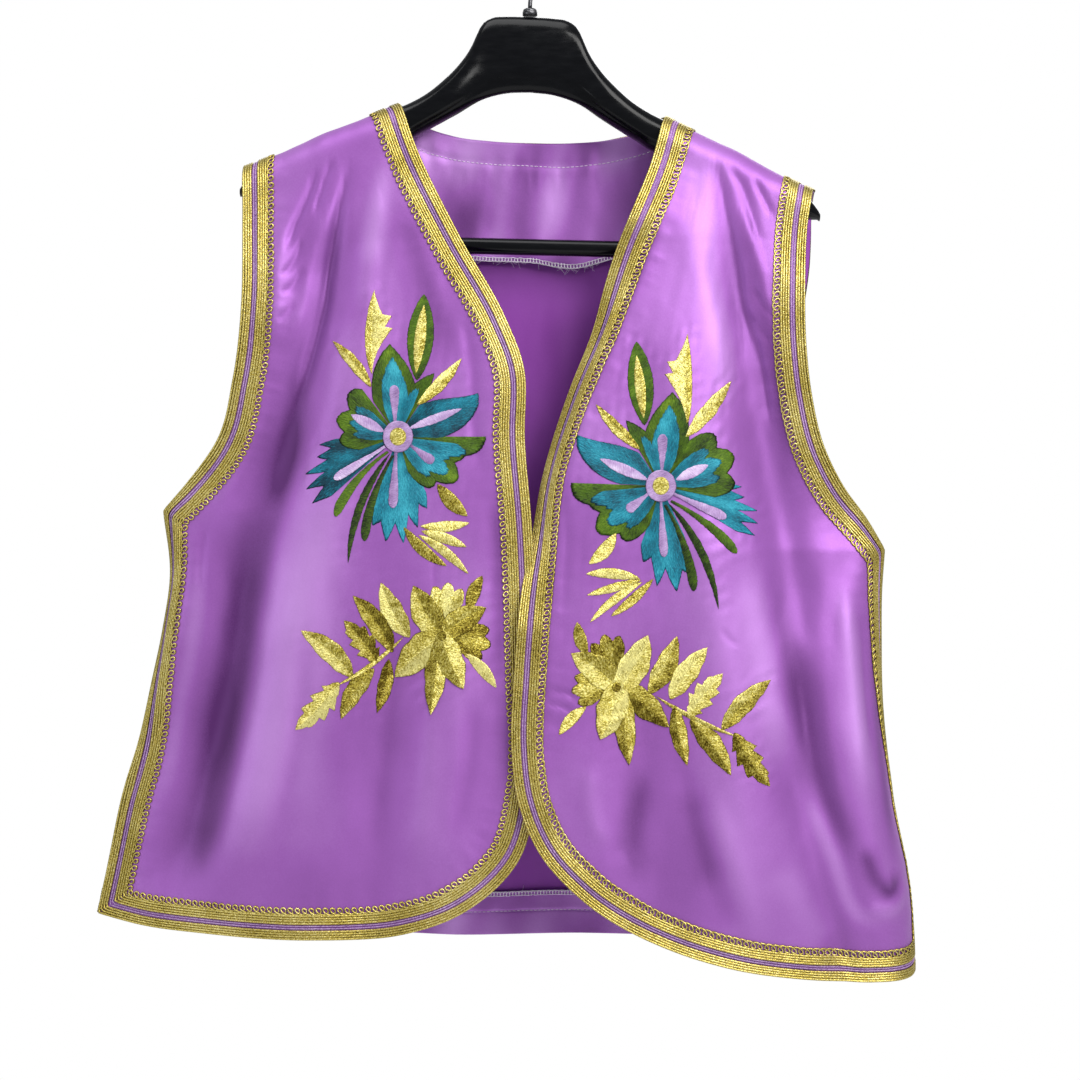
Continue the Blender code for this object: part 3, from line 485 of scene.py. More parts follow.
@dataclass
class Surface:
    """Grids gathered into one mesh, each with its own slot, shade and map."""

    points: list[Array] = field(default_factory=list)
    faces: list[Array] = field(default_factory=list)
    caps: list[list[int]] = field(default_factory=list)
    maps: list[Array] = field(default_factory=list)
    slots: list[Array] = field(default_factory=list)
    cap_slots: list[int] = field(default_factory=list)
    shades: list[Array] = field(default_factory=list)
    count: int = 0

    def add(
        self, grid: Array, chart: Array, slot: int = 0, shade: float | Array = 0.5, wrap: bool = False,
        capped: bool = False, flip: bool = False,
    ) -> None:
        """Adds one grid.

        Args:
            grid: (rows, columns, 3) places in millimetres.
            chart: (rows, columns, 2) map.
            slot: the material's place in the piece's list.
            shade: how light it is, 0 to 1, one for all or one a point.
            wrap: whether the last column joins the first.
            capped: whether the first and last rows are closed.
            flip: turns the faces over.
        """
        rows, columns = grid.shape[:2]
        faces = quads(rows, columns, wrap, flip) + self.count
        self.points.append(grid.reshape(-1, 3))
        self.maps.append(chart.reshape(-1, 2))
        self.faces.append(faces)
        self.slots.append(np.full(len(faces), slot))
        self.shades.append(np.broadcast_to(shade, (rows, columns)).ravel())
        if capped:
            ring = [self.count + k for k in range(columns)]
            last = [k + (rows - 1) * columns for k in ring][::-1]
            self.caps += [ring[::-1], last[::-1]] if flip else [ring, last]
            self.cap_slots += [slot, slot]
        self.count += rows * columns

    def piece(
        self, name: str, materials: list[bpy.types.Material], slot: str, node: str | None = None
    ) -> bpy.types.Object:
        """Makes the mesh, on the one body.

        Args:
            name: the piece's name.
            materials: its materials, by their place in the list.
            slot: the name of its material slot in the frame; not used.
            node: the solid that it stands for.

        Returns:
            The object, at the origin, with its map "flat" and its attribute "shade".
        """
        mesh = bpy.data.meshes.new(name)
        faces = np.concatenate(self.faces).tolist() + self.caps
        mesh.from_pydata((np.concatenate(self.points) * MM).tolist(), [], faces)
        corners = np.empty(len(mesh.loops), np.int32)
        mesh.loops.foreach_get("vertex_index", corners)
        mesh.uv_layers.new(name="flat").data.foreach_set("uv", np.concatenate(self.maps)[corners].ravel())
        mesh.attributes.new("shade", "FLOAT", "POINT").data.foreach_set("value", np.concatenate(self.shades))
        mesh.polygons.foreach_set("material_index", np.concatenate([*self.slots, self.cap_slots]).astype(np.int32))
        mesh.polygons.foreach_set("use_smooth", np.ones(len(mesh.polygons), bool))
        for material in materials:
            mesh.materials.append(material)
        mesh.update()
        piece = bpy.data.objects.new(name, mesh)
        bpy.context.scene.collection.objects.link(piece)
        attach(piece, "root")
        if node:
            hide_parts(node)
        log.info("%s: %d faces", name, len(faces))
        return piece


def thicken(piece: bpy.types.Object, wall: float) -> None:
    """Gives a cloth shell its wall, with its second material inside."""
    solid = piece.modifiers.new("wall", "SOLIDIFY")
    solid.thickness, solid.offset, solid.material_offset = wall * MM, 0.0, 1


def closed(
    name: str, node: str, slot: str, material: bpy.types.Material, grid: Array, chart: Array | None = None
) -> None:
    """Makes a piece of one closed grid.

    Args:
        name: the piece's name.
        node: the solid that it stands for.
        slot: the name of its material slot in the frame; not used.
        material: its one material.
        grid: (rows, columns, 3) places.
        chart: its map, or none to map it by its places across and up.
    """
    surface = Surface()
    surface.add(grid, grid[..., [0, 2]] / 100 if chart is None else chart, 0, 0.5, True, True, True)
    surface.piece(name, [material], slot, node)


def unit(vectors: Array) -> Array:
    """Each vector over its length."""
    return vectors / np.linalg.norm(vectors, axis=-1, keepdims=True).clip(1e-9)


def tube(path: Array, lift: Array, radius: Array | float, sides: int) -> tuple[Array, Array]:
    """Carries a circle along a path: path + r (cos(a) across + sin(a) up), from its underside round.

    Args:
        path: (rows, 3) places.
        lift: a vector away from the cloth at each.
        radius: one for all, or one a place.
        sides: points of the circle.

    Returns:
        The (rows, sides, 3) grid, and its map: round the tube, and the length along it over TUBE_MAP.
    """
    tangent = unit(np.gradient(path, axis=0))
    across = unit(np.cross(lift, tangent))
    up = np.cross(tangent, across)
    angle = -math.pi / 2 + np.arange(sides) * math.tau / sides
    r = np.broadcast_to(np.asarray(radius, float), (len(path),))[:, None, None]
    grid = path[:, None] + r * (np.cos(angle)[:, None] * across[:, None] + np.sin(angle)[:, None] * up[:, None])
    along = lengths(path)[:, None] / TUBE_MAP
    chart = np.stack(np.broadcast_arrays(np.arange(sides)[None] / sides, along), axis=-1)
    return grid, chart


# Finishes


class Graph:
    """A material's nodes, added and joined in one call each."""

    def __init__(self, name: str) -> None:
        """Starts a material of that name with its own shader."""
        self.material = bpy.data.materials.new(name)
        self.material.use_nodes = True
        self.tree = self.material.node_tree
        self.shader = self.tree.nodes["Principled BSDF"]

    def fill(self, node: bpy.types.Node, inputs: dict) -> None:
        """Joins sockets to a node's inputs, or sets their values."""
        for key, value in inputs.items():
            if isinstance(value, bpy.types.NodeSocket):
                self.tree.links.new(value, node.inputs[key])
            else:
                node.inputs[key].default_value = value

    def add(self, kind: str, inputs: dict | None = None, **settings: object) -> bpy.types.Node:
        """Adds a node.

        Args:
            kind: the node's kind, after ShaderNode.
            inputs: a value or a socket for each named or numbered input.
            **settings: the node's own settings.

        Returns:
            The node.
        """
        node = self.tree.nodes.new("ShaderNode" + kind)
        for key, value in settings.items():
            setattr(node, key, value)
        self.fill(node, inputs or {})
        return node

    def math(self, operation: str, a: object, b: object = 0.0, clamp: bool = False) -> bpy.types.NodeSocket:
        """A sum, product or other operation on two numbers."""
        return self.add("Math", {0: a, 1: b}, operation=operation, use_clamp=clamp).outputs[0]

    def noise(self, place: object, scale: float, detail: float = 2.0, rough: float = 0.5) -> bpy.types.NodeSocket:
        """Noise of that scale at a place."""
        inputs = {"Vector": place, "Scale": scale, "Detail": detail, "Roughness": rough}
        return self.add("TexNoise", inputs).outputs["Fac"]

    def stretched(self, place: object, scale: tuple[float, float, float]) -> bpy.types.NodeSocket:
        """A place with each direction scaled."""
        return self.add("Mapping", {"Vector": place, "Scale": scale}).outputs["Vector"]

    def between(self, share: object, low: float, high: float, out_low: float, out_high: float) -> bpy.types.NodeSocket:
        """A number carried from one range to another."""
        return self.add("MapRange", {0: share, 1: low, 2: high, 3: out_low, 4: out_high}).outputs[0]

    def ramp(self, share: object, stops: tuple[tuple[float, tuple], ...]) -> bpy.types.NodeSocket:
        """Colours by share."""
        node = self.add("ValToRGB", {0: share})
        marks = node.color_ramp.elements
        while len(marks) < len(stops):
            marks.new(0.5)
        for mark, (place, colour) in zip(marks, stops):
            mark.position, mark.color = place, (*colour, 1.0)
        return node.outputs["Color"]

    def place(self) -> bpy.types.NodeSocket:
        """The place on the piece."""
        return self.add("TexCoord").outputs["Object"]

    def shade(self) -> bpy.types.NodeSocket:
        """The piece's shade attribute, which holds painted light and shade."""
        return self.add("Attribute", attribute_name="shade").outputs["Fac"]

    def swing(self, share: object, size: float) -> bpy.types.NodeSocket:
        """A share's swing about its middle: (share - 0.5) x size."""
        return self.math("MULTIPLY", self.math("SUBTRACT", share, 0.5), size)

    def bump(self, height: object, distance: float, strength: float = 1.0) -> None:
        """Dents the shader's surface by a height."""
        node = self.add("Bump", {"Height": height, "Distance": distance, "Strength": strength})
        self.fill(self.shader, {"Normal": node.outputs[0]})


@dataclass(frozen=True)
class Satin:
    """Satin: a broad soft gloss drawn out along the warp, with painted shade where the cloth folds in on itself and
    painted highlight on its crests.
    """

    name: str
    deep: Colour
    middle: Colour
    light: Colour
    roughness: float
    metallic: float
    sheen: float

    def build(self) -> bpy.types.Material:
        """Colour by the painted light and shade stored on the cloth, with a little cloud, and a fine rib of threads
        down the cloth.
        """
        g = Graph(self.name)
        place = g.place()
        # Painted light and shade: painted shade in the folds and creases, painted highlight on the crests.
        shade = g.shade()
        cloud = g.swing(g.noise(place, 16.0, 3.0), 0.22)
        fleck = g.swing(g.noise(place, 900.0, 1.0), 0.1)
        share = g.math("ADD", g.math("ADD", shade, cloud), fleck, clamp=True)
        colour = g.ramp(share, ((0.02, self.deep), (0.5, self.middle), (0.98, self.light)))
        threads = g.noise(g.stretched(place, (1.0, 1.0, 0.06)), 1400.0, 2.0)
        soft = g.noise(place, 70.0, 2.0)
        g.bump(g.math("ADD", g.math("MULTIPLY", threads, 0.05), g.math("MULTIPLY", soft, 0.7)), 0.0008, 0.3)
        tangent = g.add("Tangent", direction_type="UV_MAP", uv_map="flat").outputs[0]
        g.fill(g.shader, {
            "Base Color": colour, "Roughness": self.roughness, "Metallic": self.metallic, "Anisotropic": 0.35,
            "Tangent": tangent, "Sheen Weight": self.sheen, "Sheen Roughness": 0.45,
            "Sheen Tint": (0.86, 0.62, 1.0, 1.0), "Specular Tint": (0.93, 0.78, 1.0, 1.0),
        })
        return g.material


@dataclass(frozen=True)
class CordFinish:
    """A twisted cord, plain or with a metal foil wrap that sparkles, with painted glints in its colour."""

    name: str
    dark: Colour
    middle: Colour
    light: Colour
    metallic: float
    roughness: float
    twist: float

    def build(self) -> bpy.types.Material:
        """Ribs that wind round the cord, sin(2 pi (along / twist + round)), with painted glints, and painted shade on
        its sides and underside, where it meets the next cord.
        """
        g = Graph(self.name)
        chart = g.add("SeparateXYZ", {0: g.add("UVMap", uv_map="flat").outputs[0]})
        around, along = chart.outputs[0], chart.outputs[1]
        place = g.place()
        drift = g.math("MULTIPLY", g.noise(place, 420.0, 1.0), 2.6)
        turns = g.math("ADD", g.math("MULTIPLY", along, TUBE_MAP / self.twist), g.math("ADD", around, drift))
        rib = g.math("SINE", g.math("MULTIPLY", turns, math.tau))
        # Painted glints: fine light specks in the colour, which also make fine bumps.
        glints_and_bumps = g.noise(place, 1250.0, 1.0)
        worn = g.noise(place, 26.0, 2.0)
        # Painted shade: each cord lighter on top and darker down its sides and underside, where the next cords shade
        # it.
        side = g.math("POWER", g.math("SINE", g.math("MULTIPLY", around, math.pi)), 2.6)
        mixed = g.math("ADD", g.math("MULTIPLY", rib, 0.05), g.swing(glints_and_bumps, 1.2))
        mixed = g.math("ADD", mixed, g.swing(worn, 0.5))
        share = g.math("ADD", g.math("ADD", mixed, -0.02), g.math("MULTIPLY", side, 0.62), clamp=True)
        colour = g.ramp(share, ((0.08, self.dark), (0.5, self.middle), (0.95, self.light)))
        g.bump(g.math("ADD", g.math("MULTIPLY", rib, 0.1), glints_and_bumps), 0.0003, 0.7)
        g.fill(g.shader, {"Base Color": colour, "Roughness": self.roughness, "Metallic": self.metallic})
        return g.material


@dataclass(frozen=True)
class ThreadFinish:
    """Embroidery thread laid side by side: streaks along each stitch, lighter or darker by the painted light and shade
    stored on the piece.
    """

    name: str
    dark: Colour
    middle: Colour
    light: Colour
    metallic: float
    roughness: float
    streak: float
    glint: float

    def build(self) -> bpy.types.Material:
        """Noise drawn out along the stitches, over the painted shade, with painted glints on single threads."""
        g = Graph(self.name)
        chart = g.add("UVMap", uv_map="flat").outputs[0]
        fine = g.noise(g.stretched(chart, (1.5, 0.2, 1.0)), 1.0, 1.5, 0.55)
        stitch = g.noise(g.stretched(chart, (2.6, 0.5, 1.0)), 1.0, 1.0, 0.5)
        threads = g.math("ADD", g.math("MULTIPLY", fine, 0.55), g.math("MULTIPLY", stitch, 0.45))
        # Painted glints: light specks on single threads, mixed into the colour.
        glint = g.noise(g.place(), 820.0, 1.5)
        shade = g.shade()
        mixed = g.math("ADD", shade, g.swing(threads, self.streak))
        mixed = g.math("ADD", mixed, g.swing(glint, self.glint), clamp=True)
        colour = g.ramp(mixed, ((0.05, self.dark), (0.5, self.middle), (0.95, self.light)))
        g.bump(threads, 0.0012, 0.9)
        g.fill(g.shader, {
            "Base Color": colour, "Roughness": self.roughness, "Metallic": self.metallic, "Specular IOR Level": 0.25,
        })
        return g.material


@dataclass(frozen=True)
class PlasticFinish:
    """Black moulded plastic with a high gloss and fine scuffs."""

    name: str = "hanger_plastic"

    def build(self) -> bpy.types.Material:
        """Near black, with fine scuffs in the gloss."""
        g = Graph(self.name)
        place = g.place()
        scuff = g.noise(g.stretched(place, (1.0, 4.0, 4.0)), 55.0, 4.0, 0.6)
        g.bump(g.noise(place, 90.0, 2.0), 0.0003, 0.3)
        colour = g.ramp(scuff, ((0.35, (0.001, 0.0012, 0.002)), (0.85, (0.003, 0.0034, 0.0045))))
        rough = g.between(scuff, 0.35, 0.8, 0.14, 0.26)
        g.fill(g.shader, {"Base Color": colour, "Roughness": rough, "Specular IOR Level": 0.2})
        return g.material


@dataclass(frozen=True)
class SteelFinish:
    """Dark drawn wire."""

    name: str = "hook_steel"

    def build(self) -> bpy.types.Material:
        """Grey metal with small spots."""
        g = Graph(self.name)
        place = g.place()
        spots = g.noise(place, 400.0, 4.0, 0.7)
        colour = g.ramp(spots, ((0.35, (0.05, 0.05, 0.055)), (0.75, (0.2, 0.2, 0.21))))
        g.bump(spots, 0.0002, 0.5)
        g.fill(g.shader, {"Base Color": colour, "Metallic": 1.0, "Roughness": g.between(spots, 0.3, 0.7, 0.24, 0.45)})
        return g.material


class Looks:
    """Every material of the waistcoat and its hanger."""

    def __init__(self) -> None:
        """Builds them once."""
        self.satin = Satin(
            "satin", (0.095, 0.018, 0.14), (0.335, 0.112, 0.455), (0.6, 0.31, 0.76), 0.47, 0.36, 0.3
        ).build()
        self.dull = Satin(
            "satin_inside", (0.11, 0.018, 0.17), (0.30, 0.06, 0.42), (0.42, 0.13, 0.56), 0.6, 0.1, 0.25
        ).build()
        gold = ((0.065, 0.042, 0.003), (0.54, 0.42, 0.08), (1.0, 0.9, 0.42))
        self.gold_cord = CordFinish("gold_cord", *gold, 0.8, 0.36, 2.6).build()
        lilac = ((0.08, 0.03, 0.11), (0.36, 0.2, 0.44), (0.66, 0.5, 0.74))
        self.lilac_cord = CordFinish("lilac_cord", *lilac, 0.0, 0.5, 2.6).build()
        self.teal = ThreadFinish(
            "teal_thread", (0.002, 0.035, 0.06), (0.008, 0.2, 0.29), (0.05, 0.44, 0.56), 0.0, 0.5, 1.5, 0.25
        ).build()
        self.green = ThreadFinish(
            "green_thread", (0.006, 0.016, 0.001), (0.07, 0.145, 0.004), (0.2, 0.32, 0.015), 0.0, 0.55, 1.3, 0.2
        ).build()
        self.lilac = ThreadFinish(
            "lilac_thread", (0.2, 0.11, 0.28), (0.48, 0.32, 0.6), (0.86, 0.72, 0.96), 0.0, 0.4, 1.0, 0.15
        ).build()
        self.gold = ThreadFinish(
            "gold_thread", (0.085, 0.055, 0.003), (0.48, 0.39, 0.055), (0.98, 0.89, 0.33), 0.8, 0.4, 1.7, 1.3
        ).build()
        self.sewing = ThreadFinish(
            "sewing_thread", (0.45, 0.28, 0.52), (0.68, 0.54, 0.74), (0.92, 0.85, 0.95), 0.0, 0.6, 0.5, 0.2
        ).build()
        self.plastic = PlasticFinish().build()
        self.steel = SteelFinish().build()


# Panels


@dataclass
class Run:
    """A braided stretch of a panel's edge between two corners, and the unit vectors into the panel."""

    line: Array
    inwards: Array


@dataclass
class Panel:
    """One cut piece of satin and the shape that it hangs in."""

    name: str
    node: str
    forwards: int
    creases: tuple[Crease, ...]
    # Bands of painted shade (drop above 0) and painted highlight (below 0), in the colour only.
    shade_bands: tuple[Crease, ...]
    folds: tuple
    columns: int = 110
    rows: int = 250

    def set_outline(self, outline: Array, trimmed: Array) -> None:
        """Keeps the closed outline, and how far each place is from the braided part of it."""
        self.outline = outline
        self.lattice = Lattice(outline)
        step = 2.0
        self.edge, which = nearest(self.lattice.points, evenly(trimmed, step))
        self.along = which * step
        self.near_motif = np.full(len(self.edge), 99.0)

    def set_motif(self, points: Array) -> None:
        """Keeps how far each place is from the embroidery."""
        self.near_motif, _ = nearest(self.lattice.points, points)

    def drape(self, flat: Array) -> Array:
        """Carries flat places to where the solids' cloth hangs."""
        raise NotImplementedError

    def relief(self, flat: Array) -> Array:
        """How far the cloth stands out of the solids' form: creases, puckers by the braid and motifs, and ripples."""
        x, y = flat[:, 0], flat[:, 1]
        edge = self.lattice.read(self.edge, flat)
        along = self.lattice.read(self.along, flat)
        motif = self.lattice.read(self.near_motif, flat)
        total = 0.3 * ripple(x, y * 0.4, 34.0, 3) + 0.1 * ripple(x, y * 0.6, 13.0, 4)
        total -= sum(crease.depth(flat) for crease in self.creases)
        pucker = 0.6 * ripple(along, 0 * along, 11.0, 5) + 0.5 * ripple(along, 0 * along, 6.0, 6)
        total += 0.42 * pucker * np.exp(-(((edge - 29.0) / 8.0) ** 2)) * (0.7 + 0.5 * ripple(x, y, 90.0, 7))
        total += 0.34 * ripple(x, y, 10.0, 8) * np.exp(-(((motif - 4.0) / 5.0) ** 2))
        return total * ease(edge / 22.0 + 0.25)

    def shade(self, flat: Array) -> Array:
        """The satin's painted light and shade, from 0, painted shade in the deepest fold, to 1, painted highlight on a
        crest, by the creases, the painted shade bands and the folds.
        """
        painted_shading = sum(crease.depth(flat) / 9.0 for crease in self.creases) + sum(t.depth(flat) for t in self.shade_bands)
        painted_shading += fold_drop(self.folds, flat[:, 0], flat[:, 1]) / 32.0
        return np.clip(0.52 - 0.5 * painted_shading + 0.05 * ripple(flat[:, 0], flat[:, 1] * 0.3, 46.0, 12), 0, 1)

    def normal(self, flat: Array) -> Array:
        """Unit vectors out of the cloth, from the drape a little further across and up."""
        step = 0.6
        across = self.drape(flat + [step, 0]) - self.drape(flat - [step, 0])
        up = self.drape(flat + [0, step]) - self.drape(flat - [0, step])
        return unit(np.cross(across, up)) * self.forwards

    def place(self, flat: Array, height: Array | float = 0.0) -> Array:
        """Carries flat places to the hanging cloth.

        Args:
            flat: (n, 2) places.
            height: how far outside the cloth's middle.

        Returns:
            (n, 3) places.
        """
        out = self.relief(flat) + height
        return self.drape(flat) + self.normal(flat) * out[:, None]

    def lay(self, flat: Array, height: Array) -> Array:
        """The same for a grid of places."""
        return self.place(flat.reshape(-1, 2), height.reshape(-1)).reshape(*flat.shape[:2], 3)

    def four_sides(self) -> tuple[Array, Array, Array, Array]:
        """The cut's top, bottom, left and right edges."""
        raise NotImplementedError

    def build(self, looks: Looks) -> bpy.types.Object:
        """Makes the satin shell, shiny outside and dull inside, on its solid's form."""
        flat = coons(*self.four_sides())
        grid = self.lay(flat, np.zeros(flat.shape[:2]))
        surface = Surface()
        # Painted light and shade of the satin, kept in its shade attribute.
        shade = self.shade(flat.reshape(-1, 2)).reshape(flat.shape[:2])
        surface.add(grid, flat[..., ::-1] / 100, 0, shade, flip=self.forwards < 0)
        piece = surface.piece(self.name, [looks.satin, looks.dull], "satin", self.node)
        thicken(piece, CLOTH)
        return piece

    def declare(self, piece: bpy.types.Object, with_pieces: list[bpy.types.Object]) -> None:
        """Does nothing."""

    def run(self, line: Array) -> Run:
        """An edge to be braided."""
        return Run(line, inward(line, self.outline))

    def braid_line(self, runs: list[Run], distance: float, first: Array, last: Array) -> Array:
        """The line this far inside a run of edges, mitred at the corners between them.

        Args:
            runs: the edges in order.
            distance: how far inside.
            first: the plain edge that the run starts on, leading away from it.
            last: the plain edge that it ends on, leading away from it.

        Returns:
            Close flat points.
        """
        whole = np.concatenate([run.line for run in runs])
        parts = []
        for run in runs:
            moved = run.line + run.inwards * distance
            parts.append(moved[(nearest(moved, whole)[0] > distance - 0.05) & inside(self.outline, moved)])
        pieces = [at_lengths(first, np.array([distance]))]
        for before, after in zip(parts, parts[1:]):
            pieces += [before, (before[-1:] + after[:1]) / 2]
        pieces += [parts[-1], at_lengths(last, np.array([distance]))]
        return np.concatenate(pieces)


@dataclass
class Front(Panel):
    """A front: neckline, rounded front corner, hem, side and armhole."""

    outer: Outer = FRONT_LEFT_OUTER
    other: Outer = BACK_LEFT_OUTER
    edge_rows: tuple = ()
    neck: float = 0.0
    depths: tuple = ()
    corner: Pair = (0, 0)
    turned: tuple = ()
    turned_strip: float = 28.0
    turned_radius: float = 12.0

    def __post_init__(self) -> None:
        """Cuts the panel."""
        self.seam, side, arm = cut_outer(self.outer, self.other, self.neck)
        edge_rows = [(x - self.outer.sign * float(self.narrowing(np.array([up]))[0]), up) for x, up in self.edge_rows]
        front = curve([self.seam[0], *edge_rows, side[0]])
        neckline = front[: int(front[:, 1].argmin() * 0.6)][::-1]
        self.neckline = neckline[np.argsort(neckline[:, 1])]
        self.set_outline(
            np.concatenate([front, side[1:], arm[1:], self.seam[::-1][1:-1]]), np.concatenate([front, side, arm])
        )
        self.edges = (front, evenly(side), arm)

    def narrowing(self, up: Array) -> Array:
        """How much narrower the strip by the neckline looks where it turns: W - R sin(a) - (W - R a) cos(a)."""
        angle = np.radians(through(self.turned, up)) if self.turned else 0.0 * up
        reach, radius = self.turned_strip, self.turned_radius
        return reach - radius * np.sin(angle) - (reach - radius * angle) * np.cos(angle)

    def turn_neckline(self, across: Array, up: Array, seen: Array, depth: Array) -> tuple[Array, Array]:
        """Turns the strip by the neckline into the body: an arc of radius R to the angle a, then straight."""
        if not self.turned:
            return seen, depth
        angle, sign, radius = np.radians(through(self.turned, up)), self.outer.sign, self.turned_radius
        start = np.interp(up, self.neckline[:, 1], self.neckline[:, 0]) * sign + self.turned_strip
        past = (start - across * sign).clip(0)
        on_arc = np.minimum(past / radius, angle)
        straight = past - radius * on_arc
        moved = past - radius * np.sin(on_arc) - straight * np.cos(angle)
        back = radius * (1 - np.cos(on_arc)) + straight * np.sin(angle)
        return seen + moved, depth + back

    def drape(self, flat: Array) -> Array:
        """Bulges, folds and rolls the front, and turns it over the shoulder."""
        across, up = flat[:, 0], flat[:, 1]
        middle = through(self.depths, up)
        drop = fold_drop(self.folds, across, up) * ease((np.abs(across) - 12.0) / 40.0)
        seen, depth = rolled(self.outer, 1, across * self.outer.sign, up, middle, drop)
        seen, depth = self.turn_neckline(across, up, seen, depth)
        height, depth = over_shoulder(across, up, depth, 1, -SHOULDER_RADIUS)
        return np.stack([seen * self.outer.sign, depth, height], axis=1)

    def four_sides(self) -> tuple[Array, Array, Array, Array]:
        """Shoulder, hem, and the two long edges, read at equal shares of their heights."""
        front, side, arm = self.edges
        split = int(nearest(np.array([self.corner], float), front)[1][0])
        share = np.linspace(0, 1, self.rows)
        outer_line = np.concatenate([arm[::-1], side[::-1][1:]])
        inner_line = front[: split + 1]
        down = []
        for line in (outer_line, inner_line):
            high, low = line[0, 1], line[-1, 1]
            order = line[::-1]
            ups = high + (low - high) * share
            down.append(np.stack([np.interp(ups, order[:, 1], order[:, 0]), ups], axis=1))
            down[-1][0], down[-1][-1] = line[0], line[-1]
        top = shared(self.seam, self.columns)
        bottom = shared(front[split:], self.columns)
        if self.outer.sign < 0:
            return top[::-1], bottom[::-1], down[0], down[1]
        return top, bottom, down[1], down[0]

    def braid_runs(self) -> list[Run]:
        """Front edge, side and armhole."""
        return [self.run(line) for line in self.edges]


@dataclass
class Back(Panel):
    """The back: both shoulders, neck, armholes, sides and hem."""

    def __post_init__(self) -> None:
        """Cuts the panel."""
        left = cut_outer(BACK_LEFT_OUTER, FRONT_LEFT_OUTER, NECK_AT_LEFT)
        right = cut_outer(BACK_RIGHT_OUTER, FRONT_RIGHT_OUTER, NECK_AT_RIGHT)
        self.seams, self.sides, self.arms = zip(left, right)
        self.neck_line = curve([self.seams[0][0], *BACK_NECK, self.seams[1][0]])
        self.hem_line = curve([self.sides[1][0], *BACK_HEM, self.sides[0][0]])
        outline = np.concatenate([
            self.neck_line, self.seams[1][1:], self.arms[1][::-1][1:], self.sides[1][::-1][1:], self.hem_line[1:],
            self.sides[0][1:], self.arms[0][1:], self.seams[0][::-1][1:-1],
        ])
        self.set_outline(outline, np.concatenate([self.neck_line, self.arms[1], self.hem_line, self.arms[0]]))

    def drape(self, flat: Array) -> Array:
        """Bulges, folds and rolls each half, and turns it over the shoulders."""
        across, up = flat[:, 0], flat[:, 1]
        middle = through(BACK_DEPTH, up)
        drop = fold_drop(BACK_FOLDS, across, up)
        left, right = (rolled(o, -1, across * o.sign, up, middle, drop) for o in (BACK_LEFT_OUTER, BACK_RIGHT_OUTER))
        seen = np.where(across > 0, right[0], -left[0])
        depth = np.where(across > 0, right[1], left[1])
        at_top = SHOULDER_RADIUS + 7.0 * ease((96.0 - np.abs(across)) / 45.0)
        height, depth = over_shoulder(across, up, depth, -1, at_top)
        return np.stack([seen, depth, height], axis=1)

    def four_sides(self) -> tuple[Array, Array, Array, Array]:
        """Shoulders and neck, hem, and the two sides, with a point at each corner."""
        wide = self.columns // 5
        seam_left, seam_right = shared(self.seams[0], wide)[::-1], shared(self.seams[1], wide)
        middle = shared(self.neck_line, self.columns - 2 * wide + 2)
        top = np.concatenate([seam_left, middle[1:-1], seam_right])
        bottom = shared(self.hem_line[::-1], self.columns)
        down = []
        for arm, side in zip(self.arms, self.sides):
            upper = round(self.rows * 0.46)
            rows = [shared(arm[::-1], upper), shared(side[::-1], self.rows - upper + 1)[1:]]
            down.append(np.concatenate(rows))
        return top, bottom, down[0], down[1]

    def runs(self) -> dict[str, tuple[list[Run], Array, Array]]:
        """Each braided edge with the plain edges at its ends."""
        edges = {
            "neck": (self.neck_line, *self.seams),
            "hem": (self.hem_line, *self.sides[::-1]),
            "armhole_left": (self.arms[0], self.sides[0][::-1], self.seams[0][::-1]),
            "armhole_right": (self.arms[1], self.sides[1][::-1], self.seams[1][::-1]),
        }
        return {"braid_back_" + name: ([self.run(line)], first, last) for name, (line, first, last) in edges.items()}


# Braid


